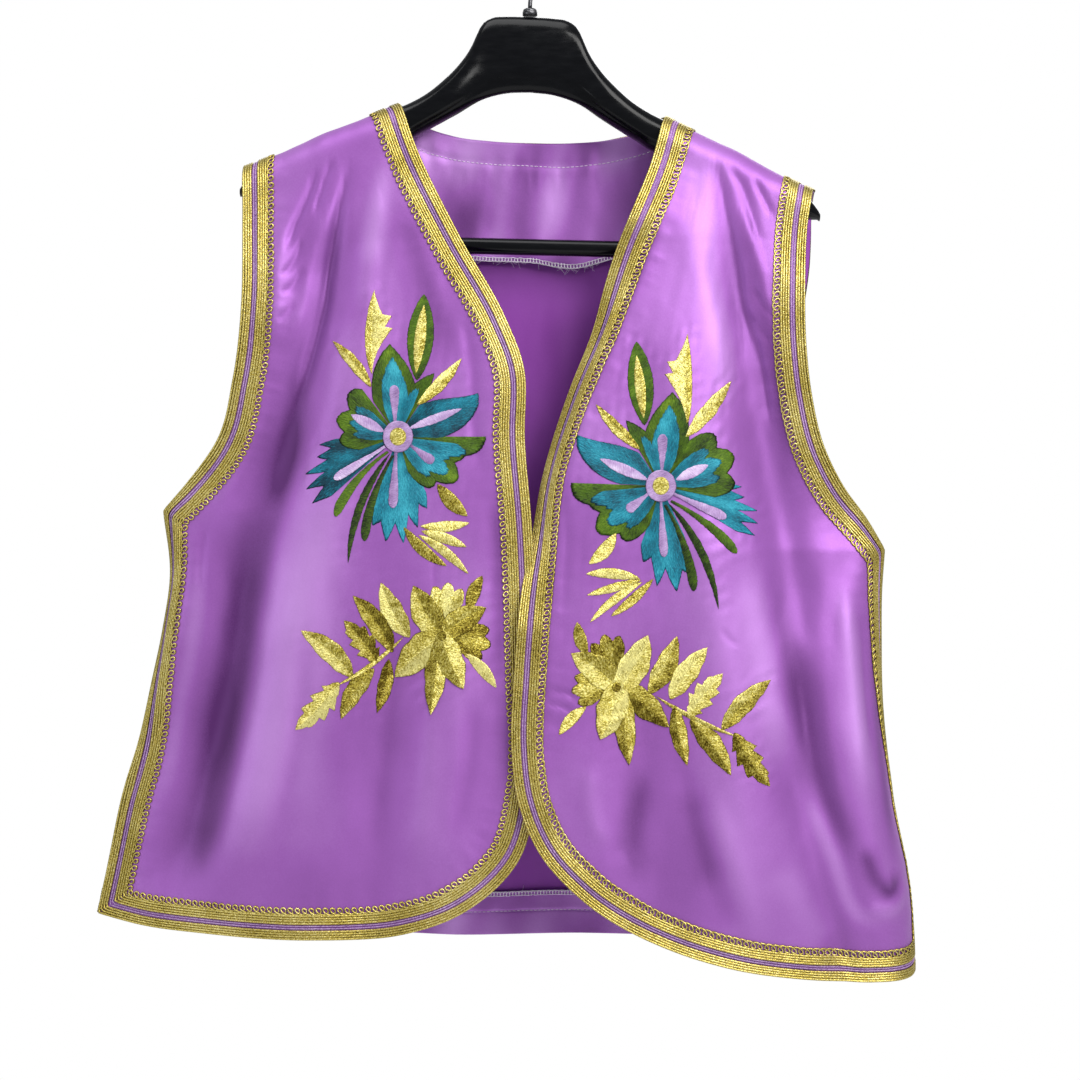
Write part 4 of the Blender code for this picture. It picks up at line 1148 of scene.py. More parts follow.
@dataclass(frozen=True)
class Braid:
    """Gold cords, a lilac pair, more gold cords and a row of picot loops, sewn down side by side."""

    outer_gold: tuple[float, ...] = (0.4, 2.2, 4.0, 5.8)
    lilac: tuple[float, ...] = (7.9, 9.7)
    inner_gold: tuple[float, ...] = (11.7, 13.5, 15.3, 17.1)
    gold_radius: float = 0.98
    lilac_radius: float = 0.62
    loop_middle: float = 20.5
    loop_pitch: float = 5.15
    loop_width: float = 2.8
    loop_reach: float = 2.3
    loop_radius: float = 0.72
    step: float = 3.3
    sides: int = 6

    def cord(self, panel: Panel, line: Array, radius: float, surface: Surface, slot: int, lift: float = 0.0) -> None:
        """Lays one cord on the cloth."""
        flat = evenly(line, self.step)
        path = panel.place(flat, CLOTH / 2 + 0.72 * radius + lift)
        grid, chart = tube(path, panel.normal(flat), radius, self.sides)
        surface.add(grid, chart, slot, wrap=True, capped=True, flip=True)

    def loops(self, panel: Panel, line: Array, inwards: Array, surface: Surface) -> None:
        """Lays the loops: along p t / 2 pi + w sin(t), across -r cos(t), leaning, with one pass over the other."""
        along = lengths(line)
        count = int((along[-1] - 4.0) // self.loop_pitch)
        t = np.linspace(0, math.tau * count, 14 * count + 1)
        uneven = 1 + 0.09 * ripple(t, 0 * t, 30.0, 11)
        lateral = -self.loop_reach * uneven * np.cos(t)
        s = 2.0 + (along[-1] - 4.0) / count * t / math.tau + self.loop_width * uneven * np.sin(t) + 0.3 * lateral
        s = s.clip(0.2, along[-1] - 0.2)
        base, into = at_lengths(line, s), unit(read_along(inwards, along, s))
        flat = base + into * lateral[:, None]
        path = panel.place(flat, CLOTH / 2 + 0.6 + 0.34 * np.sin(t))
        grid, chart = tube(path, panel.normal(flat), self.loop_radius, 5)
        surface.add(grid, chart, 0, wrap=True, capped=True, flip=True)

    def build(
        self, name: str, panel: Panel, runs: list[Run], first: Array, last: Array, looks: Looks
    ) -> bpy.types.Object:
        """Makes one length of braid.

        Args:
            name: the piece's name, which is also its CAD node's.
            panel: the cloth that it is sewn to.
            runs: the edges that it follows.
            first: the plain edge at its start.
            last: the plain edge at its end.
            looks: the materials.

        Returns:
            The piece.
        """
        surface = Surface()
        for distance in (*self.outer_gold, *self.inner_gold):
            self.cord(panel, panel.braid_line(runs, distance, first, last), self.gold_radius, surface, 0)
        for distance in self.lilac:
            self.cord(panel, panel.braid_line(runs, distance, first, last), self.lilac_radius, surface, 1, -0.1)
        line = evenly(panel.braid_line(runs, self.loop_middle, first, last), 1.0)
        self.loops(panel, line, inward(line, panel.outline), surface)
        return surface.piece("cords_" + name, [looks.gold_cord, looks.lilac_cord], "gold_braid", name)


# Embroidery


class Thread(Enum):
    """The threads, by their slot."""

    TEAL = 0
    GREEN = 1
    LILAC = 2
    GOLD = 3


class Shape(Enum):
    """How a stitched shape ends."""

    LENS = "pointed at both ends"
    LEAF = "widest near its base, with a soft wave in its edges"
    CLUB = "round end"
    DISC = "round"
    SERRATED = "toothed leaf"
    BARBED = "leaf with teeth on one side"
    POINTED = "petal with a point"
    LOBED = "petal with round lobes"
    FRINGED = "petal with a cut end"


@dataclass(frozen=True)
class Blade:
    """A stitched shape along an axis from its base to its tip, both places in the picture."""

    base: Pair
    tip: Pair
    width: float
    shape: Shape = Shape.LENS
    thread: Thread = Thread.GOLD
    # Painted light of the whole shape, by how its threads catch the light.
    shade: float = 0.6
    bend: float = 0.0
    level: float = 0.0
    height: float = 0.7
    side: int = 1

    def half_widths(self, t: Array) -> tuple[Array, Array]:
        """Half widths on both sides by share of the length: sin(pi t)^0.72 for a lens, t^0.75 (1-t)^0.9 for a leaf."""
        if self.shape is Shape.LENS:
            half = np.sin(math.pi * t).clip(0) ** 0.72
        elif self.shape is Shape.DISC:
            half = np.sqrt((1 - (2 * t - 1) ** 2).clip(0))
        elif self.shape is Shape.CLUB:
            half = (0.3 + 0.7 * ease(t / 0.85)) * np.sqrt((1 - ((t - 0.84) / 0.16).clip(0) ** 2).clip(0))
        else:
            half = t**0.75 * (1 - t) ** 0.9 / 0.3208
        first, second = half, half
        if self.shape is Shape.LEAF:
            phase = (self.base[0] + self.tip[1]) % 6.0
            first = half * (1 + 0.05 * np.sin(21 * t + phase))
            second = half * (1 + 0.05 * np.sin(18 * t + 2 * phase))
        elif self.shape is Shape.SERRATED:
            amid = ease((t - 0.12) / 0.1) * (1 - ease((t - 0.8) / 0.08))
            first = half * (1 + amid * (0.6 * ((t * 4.3) % 1.0) - 0.3))
            second = half * (1 + amid * (0.6 * ((t * 4.3 + 0.4) % 1.0) - 0.3))
        elif self.shape is Shape.BARBED:
            first = half * 0.6
            tooth = np.where(t < 0.56, 1.75 * (t / 0.56) ** 1.8, 1.0 + 0.6 * (t - 0.56) / 0.14)
            second = np.where(t < 0.7, tooth, 0.85 * ((1 - t) / 0.3) ** 1.3)
        return first, second

    def surface(self) -> tuple[Array, Array, Array, Array]:
        """Works out the shape.

        Returns:
            Flat places, heights, map and painted shade. Each section is a low dome closed underneath, and the stitches
            lie aslant from the middle vein of a leaf, or straight over the other shapes.
        """
        base, tip = np.array(spot(*self.base)), np.array(spot(*self.tip))
        axis = tip - base
        length = float(np.linalg.norm(axis))
        direction = axis / length
        normal = np.array([-direction[1], direction[0]])
        beside = normal * self.side
        steps = int(np.clip(length / 0.8, 26, 84))
        t = (1 - np.cos(np.linspace(0, math.pi, steps))) / 2 * 0.5 + np.linspace(0, 1, steps) * 0.5
        w = np.concatenate([[-1.0], np.sin(np.linspace(-1.25, 1.25, 9)) / math.sin(1.25) * 0.94, [1.0, 0.5, 0.0, -0.5]])
        under = np.arange(len(w)) > 10
        rng = np.random.default_rng(int(self.base[0] * 7 + self.tip[1] * 13))
        halves = [np.maximum(half * self.width * PIXEL / 2, 0.15) for half in self.half_widths(t)]
        first, second = (half + rng.uniform(-0.22, 0.22, steps) * (half > 0.8) for half in halves)
        span = np.where(w[None] < 0, first[:, None], second[:, None]) * w[None]
        bow = normal * (self.bend * PIXEL * 4 * t * (1 - t))[:, None]
        middle = base + direction * (t * length)[:, None] + bow
        flat = middle[:, None] + beside * span[..., None]
        slim = np.minimum(1.0, (first + second) / 2.4) ** 0.5
        height = self.level + self.height * (1 - w**2).clip(0)[None] ** 0.3 * slim[:, None] + 0.04
        height = np.where(under[None], STITCH_UNDERSIDE, height)
        leafy = self.shape in (Shape.LEAF, Shape.SERRATED, Shape.BARBED)
        slant = -0.8 * np.abs(span) if leafy else 0.45 * span
        chart = np.stack(np.broadcast_arrays((t * length)[:, None] + slant, span), axis=-1)
        # Painted light and shade: one half lighter than the other by how its threads catch the light, painted shade at
        # the base, a ripple of random tone, and a thin painted shadow along the edges.
        painted_shading = self.shade + (0.13 if leafy else 0.05) * np.sign(w)[None] - 0.22 * np.exp(-t / 0.12)[:, None]
        painted_shading = painted_shading + 0.12 * ripple(flat[..., 0], flat[..., 1], 11.0, 9) - 0.4 * (np.abs(w) > 0.97)[None]
        return flat, height, chart, painted_shading


@dataclass(frozen=True)
class Petal:
    """A stitched petal that spreads from the flower's centre: its reach in the picture by angle."""

    aim: float
    reach: float
    spread: float
    shape: Shape
    thread: Thread = Thread.TEAL
    # Painted light of the whole petal, by how its threads catch the light.
    shade: float = 0.5
    rim: float = 0.0
    level: float = 0.0
    skew: float = 0.0
    edge: Pair = (0.5, 0.5)
    power: Pair = (1.0, 1.0)
    count: int = 3
    corner: tuple[float, float, float] = (0.0, 0.0, 0.2)

    def outline(self, x: Array) -> Array:
        """The reach by share of the spread, -1 to 1: a point, scallops |sin|, or teeth, with one more corner."""
        below = x < self.skew
        side = np.where(below, (self.skew - x) / (1 + self.skew), (x - self.skew) / (1 - self.skew))
        edge = np.where(below, self.edge[0], self.edge[1])
        share = 1 - (1 - edge) * side ** np.where(below, self.power[0], self.power[1])
        turn = self.count * (x + 1) / 2
        if self.shape is Shape.LOBED:
            share = share * (0.9 + 0.15 * np.abs(np.sin(math.pi * turn)))
        elif self.shape is Shape.FRINGED:
            tooth = 1 - np.abs(2 * (turn % 1.0) - 1)
            share = share * (0.82 + 0.2 * tooth * (1 + 0.3 * np.sin(5.0 * x + 1.0)))
        place, size, width = self.corner
        return self.reach * (share + size * np.clip(1 - np.abs(x - place) / width, 0, 1))

    def surface(self, centre: Pair, mirrored: bool, inner: bool, seed: int) -> tuple[Array, Array, Array, Array]:
        """Works out the petal, or its lighter inside within the rim.

        Args:
            centre: the flower's centre in the picture.
            mirrored: whether the flower is the mirror image.
            inner: whether to stay inside the rim.
            seed: sets the ragged edge.

        Returns:
            Flat places, heights, map and painted shade: radius by angle, with stitches that run out from the centre.
        """
        count = 84
        x = np.linspace(-1, 1, count)
        reach, spread = self.outline(x), self.spread
        if inner:
            reach = (reach - self.rim * 1.15).clip(9.0) * (1 - 0.25 * np.abs(x) ** 6)
            spread -= math.degrees(self.rim * 0.85 / self.reach)
        reach = (reach + (1.9 if inner else 0.6) * np.random.default_rng(seed).uniform(-1, 1, count)) * PIXEL
        angle = np.radians(self.aim + x * spread)
        angle = math.pi - angle if mirrored else angle
        share = np.concatenate([np.linspace(0.1, 0.96, 19), [1.0], np.linspace(0.92, 0.16, 8)])
        under = np.arange(len(share)) > 19
        distance = share[None] * reach[:, None]
        flat = np.array(spot(*centre)) + np.stack(
            [distance * np.cos(angle)[:, None], distance * np.sin(angle)[:, None]], axis=-1
        )
        rim = np.sqrt((1 - share**12).clip(0))[None] * np.sqrt((1 - x**12).clip(0.02))[:, None]
        height = self.level + (0.32 if inner else 0.16) + (0.06 if inner else 0.1) * rim
        height = np.where(under[None], STITCH_UNDERSIDE, height)
        chart = np.stack(np.broadcast_arrays(np.radians(x * spread)[:, None] * self.reach * 0.5, distance), axis=-1)
        # Painted light and shade: lighter and darker across the petal by how its threads catch the light, painted shade
        # towards the centre, a ripple of random tone, and a thin painted shadow at the outer edge.
        painted_shading = self.shade + 0.14 * np.cos(x * 5.0)[:, None] - 0.34 * np.exp(-share / 0.16)[None]
        painted_shading = painted_shading + 0.14 * ripple(flat[..., 0], flat[..., 1], 12.0, seed) - 0.3 * (share > 0.99)[None]
        return flat, height, chart, painted_shading


@dataclass
class Embroidery:
    """Petals round a centre, and blades, all stitched on one front."""

    name: str
    panel: Front
    centre: Pair
    mirrored: bool
    petals: tuple[Petal, ...]
    blades: tuple[Blade, ...]
    parts: list[tuple[Array, Array, Array, Array, Thread]] = field(default_factory=list)

    def draw(self) -> Array:
        """Works out every shape flat, and gives their places for the cloth's puckers."""
        for k, petal in enumerate(self.petals):
            if petal.rim:
                flat, height, chart, painted_shading = petal.surface(self.centre, self.mirrored, False, 20 + k)
                # The green rim's painted light and shade: its own level of 0.42, with the petal's painted shade and
                # highlight.
                self.parts.append((flat, height, chart, 0 * painted_shading + 0.42 + (painted_shading - petal.shade), Thread.GREEN))
            shape = petal.surface(self.centre, self.mirrored, bool(petal.rim), 40 + k)
            self.parts.append((*shape, petal.thread))
        for blade in self.blades:
            self.parts.append((*blade.surface(), blade.thread))
        return np.concatenate([flat[::3, ::3].reshape(-1, 2) for flat, *_ in self.parts])

    def build(self, looks: Looks) -> bpy.types.Object:
        """Lays the shapes on the cloth, each closed under its stitches."""
        surface = Surface()
        for flat, height, chart, painted_shading, thread in self.parts:
            grid = self.panel.lay(flat, np.broadcast_to(height + CLOTH / 2, flat.shape[:2]))
            row, column = flat[12, 5] - flat[11, 5], flat[12, 5] - flat[12, 4]
            flip = bool(row[0] * column[1] - row[1] * column[0] > 0)
            surface.add(grid, chart, thread.value, painted_shading, True, True, flip)
        return surface.piece(self.name, [looks.teal, looks.green, looks.lilac, looks.gold], "satin")


L, F, C, D, S, B = Shape.LENS, Shape.LEAF, Shape.CLUB, Shape.DISC, Shape.SERRATED, Shape.BARBED
TEAL, GREEN, LILAC, GOLD = Thread.TEAL, Thread.GREEN, Thread.LILAC, Thread.GOLD

# Each petal's shade is painted light: how light it looks by how its threads catch the light.
LEFT_PETALS = (
    Petal(202, 114, 20, Shape.FRINGED, shade=0.2, level=0.04, skew=0.8, edge=(0.66, 0.95), power=(0.9, 1), count=5),
    Petal(-87, 110, 24, Shape.FRINGED, shade=0.64, level=0.04, skew=-0.35, edge=(0.6, 0.7), power=(2.5, 1.0), count=5),
    Petal(163, 61, 36, Shape.LOBED, shade=0.36, rim=12, level=0.26, edge=(1.1, 0.74), power=(2.5, 2.5), count=3),
    Petal(-37, 71, 37, Shape.LOBED, shade=0.58, rim=10, level=0.26, edge=(0.57, 0.78), power=(1.7, 3), count=3,
          corner=(1.0, 0.55, 0.45)),
    Petal(91, 94, 34, Shape.POINTED, shade=0.6, rim=12, level=0.26, skew=0.12, edge=(0.35, 0.46), power=(0.94, 1.15),
          corner=(-0.91, 0.39, 0.37)),
    Petal(27, 92, 29, Shape.POINTED, shade=0.26, level=0.3, skew=0.07, edge=(0.45, 0.42), power=(1.65, 0.55)),
)
RIGHT_PETALS = (
    Petal(194, 112, 17, Shape.FRINGED, shade=0.55, level=0.04, skew=0.8, edge=(0.7, 0.95), power=(0.9, 1), count=5),
    Petal(-93, 108, 22, Shape.FRINGED, shade=0.5, level=0.04, skew=-0.3, edge=(0.62, 0.7), power=(2.5, 1.0), count=4),
    Petal(157, 76, 35, Shape.LOBED, shade=0.5, rim=13, level=0.26, edge=(0.8, 0.8), power=(2.5, 2.5), count=3),
    Petal(-36, 75, 38, Shape.LOBED, shade=0.45, rim=11, level=0.26, edge=(0.6, 0.78), power=(1.7, 3), count=3,
          corner=(1.0, 0.5, 0.45)),
    Petal(93, 95, 34, Shape.POINTED, shade=0.55, rim=12, level=0.26, skew=0.12, edge=(0.35, 0.46), power=(0.94, 1.15),
          corner=(-0.91, 0.39, 0.37)),
    Petal(30, 98, 27, Shape.POINTED, shade=0.42, level=0.3, skew=0.07, edge=(0.42, 0.4), power=(1.65, 0.55)),
)
LEFT_SPRAY_PETALS = (
    Petal(-14, 47, 32, Shape.LOBED, GOLD, 0.34, level=0.05, edge=(0.8, 0.8), power=(2.5, 2.5)),
    Petal(84, 49, 27, Shape.LOBED, GOLD, 0.8, level=0.1, edge=(0.82, 0.82), power=(2.5, 2.5)),
)
RIGHT_SPRAY_PETALS = (
    Petal(-7, 45, 30, Shape.LOBED, GOLD, 0.5, level=0.05, edge=(0.8, 0.8), power=(2.5, 2.5)),
    Petal(74, 50, 27, Shape.LOBED, GOLD, 0.34, level=0.1, edge=(0.82, 0.82), power=(2.5, 2.5)),
)


def with_button(blades: tuple, centre: Pair) -> tuple[Blade, ...]:
    """The blades of a flower, and the button at its middle: lilac with a gold boss."""
    x, y = centre
    button = Blade((x, y + 16), (x, y - 16), 31, D, LILAC, 0.42, level=0.84, height=0.4)
    return (*blades, button, Blade((x, y + 9), (x, y - 9), 17, D, GOLD, 0.62, level=1.18, height=0.45))


def vein(base: Pair, tip: Pair, width: float, shape: Shape, shade: float) -> Blade:
    """A lilac stitch down the middle of a petal."""
    return Blade(base, tip, width, shape, LILAC, shade, level=0.62, height=0.32)


# Each blade's shade is painted light: how light it looks by how its threads catch the light.
LEFT_BLADES = (
    Blade((387, 451), (334, 516), 10, C, GREEN, 0.5, -6), Blade((389, 453), (347, 563), 8, L, GREEN, 0.16, -9),
    Blade((392, 455), (363, 541), 10, C, GREEN, 0.2, -5),
    vein((394, 423), (393, 384), 10, C, 0.34),
    vein((408, 428), (461, 408), 9, L, 0.6),
    vein((410, 445), (433, 462), 10, C, 0.3),
    vein((395, 452), (392, 508), 10, C, 0.32),
    vein((384, 446), (333, 479), 9, C, 0.64),
    vein((383, 431), (350, 414), 11, L, 0.56),
    Blade((370, 386), (331, 339), 12, F, GOLD, 0.6, -2), Blade((371, 373), (373, 288), 24, B, GOLD, 0.72, 1, side=-1),
    Blade((416, 379), (423, 292), 27, L, GREEN, 0.42), Blade((415, 372), (423, 303), 12, L, GOLD, 0.66, level=0.5),
    Blade((416, 404), (461, 357), 13, F, GOLD, 0.7, -2), Blade((437, 484), (467, 516), 15, L, GOLD, 0.45, -2),
    Blade((420, 526), (469, 523), 11, L, GOLD, 0.8, -2), Blade((421, 531), (466, 547), 11, L, GOLD, 0.78, 1),
    Blade((418, 535), (468, 574), 10, L, GOLD, 0.8, 3), Blade((403, 527), (446, 566), 12, L, GOLD, 0.42, -4),
)
RIGHT_BLADES = (
    Blade((671, 501), (737, 553), 10, C, GREEN, 0.4, 4), Blade((668, 503), (718, 609), 8, L, GREEN, 0.16, 9),
    Blade((665, 505), (694, 591), 10, C, GREEN, 0.2, 5),
    vein((662, 472), (663, 434), 10, C, 0.34),
    vein((648, 480), (600, 459), 11, L, 0.6),
    vein((648, 494), (627, 511), 10, C, 0.44),
    vein((661, 502), (664, 557), 9, C, 0.4),
    vein((674, 494), (726, 518), 10, C, 0.46),
    vein((676, 480), (708, 465), 11, L, 0.66),
    Blade((686, 437), (732, 380), 15, F, GOLD, 0.75, -1), Blade((687, 425), (688, 333), 24, B, GOLD, 0.7, 2, side=1),
    Blade((645, 425), (637, 341), 26, L, GREEN, 0.42), Blade((644, 418), (637, 355), 11, L, GOLD, 0.66, level=0.5),
    Blade((640, 449), (596, 404), 12, F, GOLD, 0.55, 2), Blade((616, 533), (589, 564), 14, L, GOLD, 0.75, 3),
    Blade((640, 579), (586, 574), 11, L, GOLD, 0.8, -3), Blade((641, 580), (587, 595), 9, L, GOLD, 0.7, 0),
    Blade((642, 582), (590, 622), 9, L, GOLD, 0.8, -3), Blade((653, 579), (611, 616), 10, L, GOLD, 0.5, 2),
)
LEFT_SPRAY = (
    Blade((403, 637), (334, 687), 5, L, GOLD, 0.6, 4), Blade((409, 638), (380, 583), 23, F, GOLD, 0.72, 3),
    Blade((392, 653), (352, 596), 21, F, GOLD, 0.32, -4, 0.1), Blade((377, 664), (343, 621), 22, S, GOLD, 0.36, -2),
    Blade((352, 678), (300, 631), 22, F, GOLD, 0.66, -4), Blade((388, 660), (376, 714), 15, F, GOLD, 0.22, 2),
    Blade((373, 669), (340, 720), 19, F, GOLD, 0.42, -4), Blade((338, 683), (294, 731), 23, S, GOLD, 0.82, 2),
    Blade((468, 612), (482, 576), 14, L, GOLD, 0.28, 2), Blade((466, 654), (496, 688), 12, L, GOLD, 1.0, 2),
    Blade((445, 640), (413, 586), 30, F, GOLD, 0.5, 3, 0.3, 0.4),
    Blade((440, 638), (486, 608), 26, F, GOLD, 0.4, 3, 0.42, 0.4),
    Blade((450, 632), (394, 678), 34, F, GOLD, 0.66, -3, 0.54, 0.4),
    Blade((441, 634), (431, 715), 22, F, GOLD, 0.5, 0, 0.66, 0.4),
    Blade((440, 630), (463, 689), 28, F, GOLD, 0.58, -2, 0.8, 0.4),
    Blade((442, 641), (442, 631), 9, D, GOLD, 0.2, 0, 1.1, 0.35),
)
RIGHT_SPRAY = (
    Blade((656, 696), (737, 736), 5, L, GOLD, 0.6, -3), Blade((649, 694), (677, 636), 22, F, GOLD, 0.5, -3),
    Blade((670, 699), (707, 647), 22, F, GOLD, 0.78, 2), Blade((688, 717), (722, 673), 21, S, GOLD, 0.78, 2),
    Blade((721, 729), (771, 680), 20, F, GOLD, 0.55, 3), Blade((675, 705), (687, 765), 17, F, GOLD, 0.4, -2),
    Blade((690, 719), (730, 774), 21, F, GOLD, 0.4, 3), Blade((733, 732), (769, 786), 22, S, GOLD, 0.36, -2),
    Blade((587, 655), (577, 622), 13, L, GOLD, 0.45, 2), Blade((586, 706), (559, 734), 12, L, GOLD, 0.66, -2),
    Blade((622, 692), (571, 653), 30, F, GOLD, 0.6, -3, 0.3, 0.4),
    Blade((616, 693), (648, 635), 30, F, GOLD, 0.8, -3, 0.54, 0.4),
    Blade((612, 684), (669, 727), 27, F, GOLD, 0.3, 3, 0.42, 0.4),
    Blade((619, 682), (629, 765), 23, F, GOLD, 0.44, 0, 0.66, 0.4),
    Blade((620, 680), (600, 739), 32, F, GOLD, 0.74, 2, 0.8, 0.4),
    Blade((616, 692), (616, 682), 9, D, GOLD, 0.25, 0, 1.1, 0.35),
)


# Facings and sewing


@dataclass
class Facing:
    """A satin strip inside the back, held along one edge, with its other edge free and overlocked."""

    name: str
    node: str
    back: Back
    top: Array
    bottom: Array
    free_is_bottom: bool
    lift: float
    stitch_share: float
    rows: int = 44
    columns: int = 150

    def flat(self, rows: int, columns: int) -> Array:
        """The ruled surface between the two edges."""
        top, bottom = shared(self.top, columns), shared(self.bottom, columns)
        v = np.linspace(0, 1, rows)[:, None, None]
        return (1 - v) * top[None] + v * bottom[None]

    def height(self, share: Array, flat: Array) -> Array:
        """Inside the back, dented and puckered along its stitches, and further in by the free edge, which waves.

        Args:
            share: the share of the way down the strip.
            flat: the flat places.

        Returns:
            -clearance + dent exp(-d^2) - pucker - lift x free^3 x wave.
        """
        x = flat[..., 0]
        away = share - self.stitch_share
        pucker = 0.3 * np.exp(-((away / 0.1) ** 2)) * ripple(x, 20 * share, 11.0, 18)
        dent = 0.5 * np.exp(-((away / 0.03) ** 2)) - pucker
        free = share if self.free_is_bottom else 1 - share
        wave = 0.6 + 0.4 * ripple(x, 0 * x, 38.0, 17)
        return -FACING_CLEARANCE + dent - self.lift * free**3 * wave

    def build(self, looks: Looks) -> list[bpy.types.Object]:
        """Makes the strip, its stitch line and its overlocked edge."""
        flat = self.flat(self.rows, self.columns)
        share = np.broadcast_to(np.linspace(0, 1, self.rows)[:, None], flat.shape[:2])
        height = self.height(share, flat)
        # Painted light and shade: soft bands of painted light and shade for the strip's folds, painted shade where it
        # stands further in from the back, most at the free edge, and all of it lighter by 0.45.
        shade = 0.62 + 0.3 * ripple(flat[..., 0], flat[..., 1] * 0.4, 30.0, 19) + 0.25 * height.clip(-2.3, -1.5)
        surface = Surface()
        surface.add(self.back.lay(flat, height), flat[..., ::-1] / 100, 0, (shade + 0.45).clip(0, 1))
        piece = surface.piece(self.name, [looks.satin, looks.dull], "satin_facing", self.node)
        thicken(piece, FACING)
        sewing = [self.stitches(looks), self.overlock(looks)]
        return [piece, *sewing]

    def at(self, share: Array, along: Array) -> Array:
        """Flat places at a share of the way down and along the strip."""
        top, bottom = (read_along(line, lengths(line) / lengths(line)[-1], along) for line in (self.top, self.bottom))
        return top + (bottom - top) * share[:, None]

    def sew(
        self, surface: Surface, share: Array, along: Array, away: Array | float, radius: Array | float, shade: float
    ) -> None:
        """Lays threads on the strip.

        Args:
            surface: gathers them.
            share: (threads, points) shares of the way down.
            along: (threads, points) shares of the way along.
            away: how far off the strip.
            radius: the thread's.
            shade: how light it is.
        """
        flat = self.at(share.ravel(), along.ravel())
        path = self.back.place(flat, self.height(share.ravel(), flat) - 0.35 - np.ravel(away))
        path = path.reshape(*share.shape, 3)
        lift = -self.back.normal(flat).reshape(path.shape)
        for places, up in zip(path, lift):
            surface.add(*tube(places, up, radius, 4), 0, shade, True, True, True)

    def stitches(self, looks: Looks) -> bpy.types.Object:
        """A line of machine stitches, each a small closed dash on the strip."""
        total = lengths(self.top)[-1]
        along = (np.arange(3.0, total - 4.0, 3.3)[:, None] + np.linspace(0, 2.6, 5)) / total
        surface = Surface()
        radius = 0.34 * np.sin(np.linspace(0.35, math.pi - 0.35, 5))
        self.sew(surface, np.full(along.shape, self.stitch_share), along, 0.12, radius, 0.75)
        return surface.piece(self.name + "_stitches", [looks.sewing], "satin_facing")

    def overlock(self, looks: Looks) -> bpy.types.Object:
        """Thread that zigzags over the free edge, with a chain along it and loose ends."""
        line = self.bottom if self.free_is_bottom else self.top
        total = lengths(line)[-1]
        edge, into = (1.0, -1.0) if self.free_is_bottom else (0.0, 1.0)
        depth = 3.4 / abs(float(np.linalg.norm(self.bottom[0] - self.top[0])))
        surface = Surface()
        count = int(total / 2.4)
        t = np.linspace(0, count, count * 8 + 1)[None]
        swing = (0.5 - 0.5 * np.cos(math.tau * t)) * (1 + 0.25 * ripple(t, 0 * t, 6.0, 23))
        along = np.clip((t + 0.25 * np.sin(math.tau * t)) / count, 0, 1)
        self.sew(surface, edge + into * depth * swing, along, 0.1 + 0.3 * np.cos(math.pi * t) ** 2, 0.34, 0.9)
        for row in (0.02, 0.95):
            along = np.linspace(0.0, 1.0, count * 2)[None]
            share = edge + into * depth * (row + 0.08 * ripple(along * total, 0 * along, 4.0, 24))
            self.sew(surface, share, along, 0.3, 0.3, 0.8)
        rng = np.random.default_rng(31)
        t = np.linspace(0, 1, 7)[None]
        starts, bends = rng.uniform(0.02, 0.98, (60, 1)), rng.uniform(-0.02, 0.02, (60, 1))
        reach = rng.uniform(0.3, 1.3, (60, 1)) ** 2
        along = np.clip(starts + bends * t, 0, 1)
        self.sew(surface, edge - into * depth * reach * t, along, 0.4 + 1.0 * t * reach, 0.14, 0.3)
        return surface.piece(self.name + "_overlock", [looks.sewing], "satin_facing")


# Hanger

HANGER_NECK = (
    (0, -67), (18, -67.4), (29, -69), (36, -74), (45, -93), (54, -106), (65, -117.5), (76, -127), (90, -135.6),
    (104, -142),
)
HANGER_UNDERSIDE = ((0, -123.5), (18, -125), (37, -131), (54, -141.5), (72, -152), (90, -162))


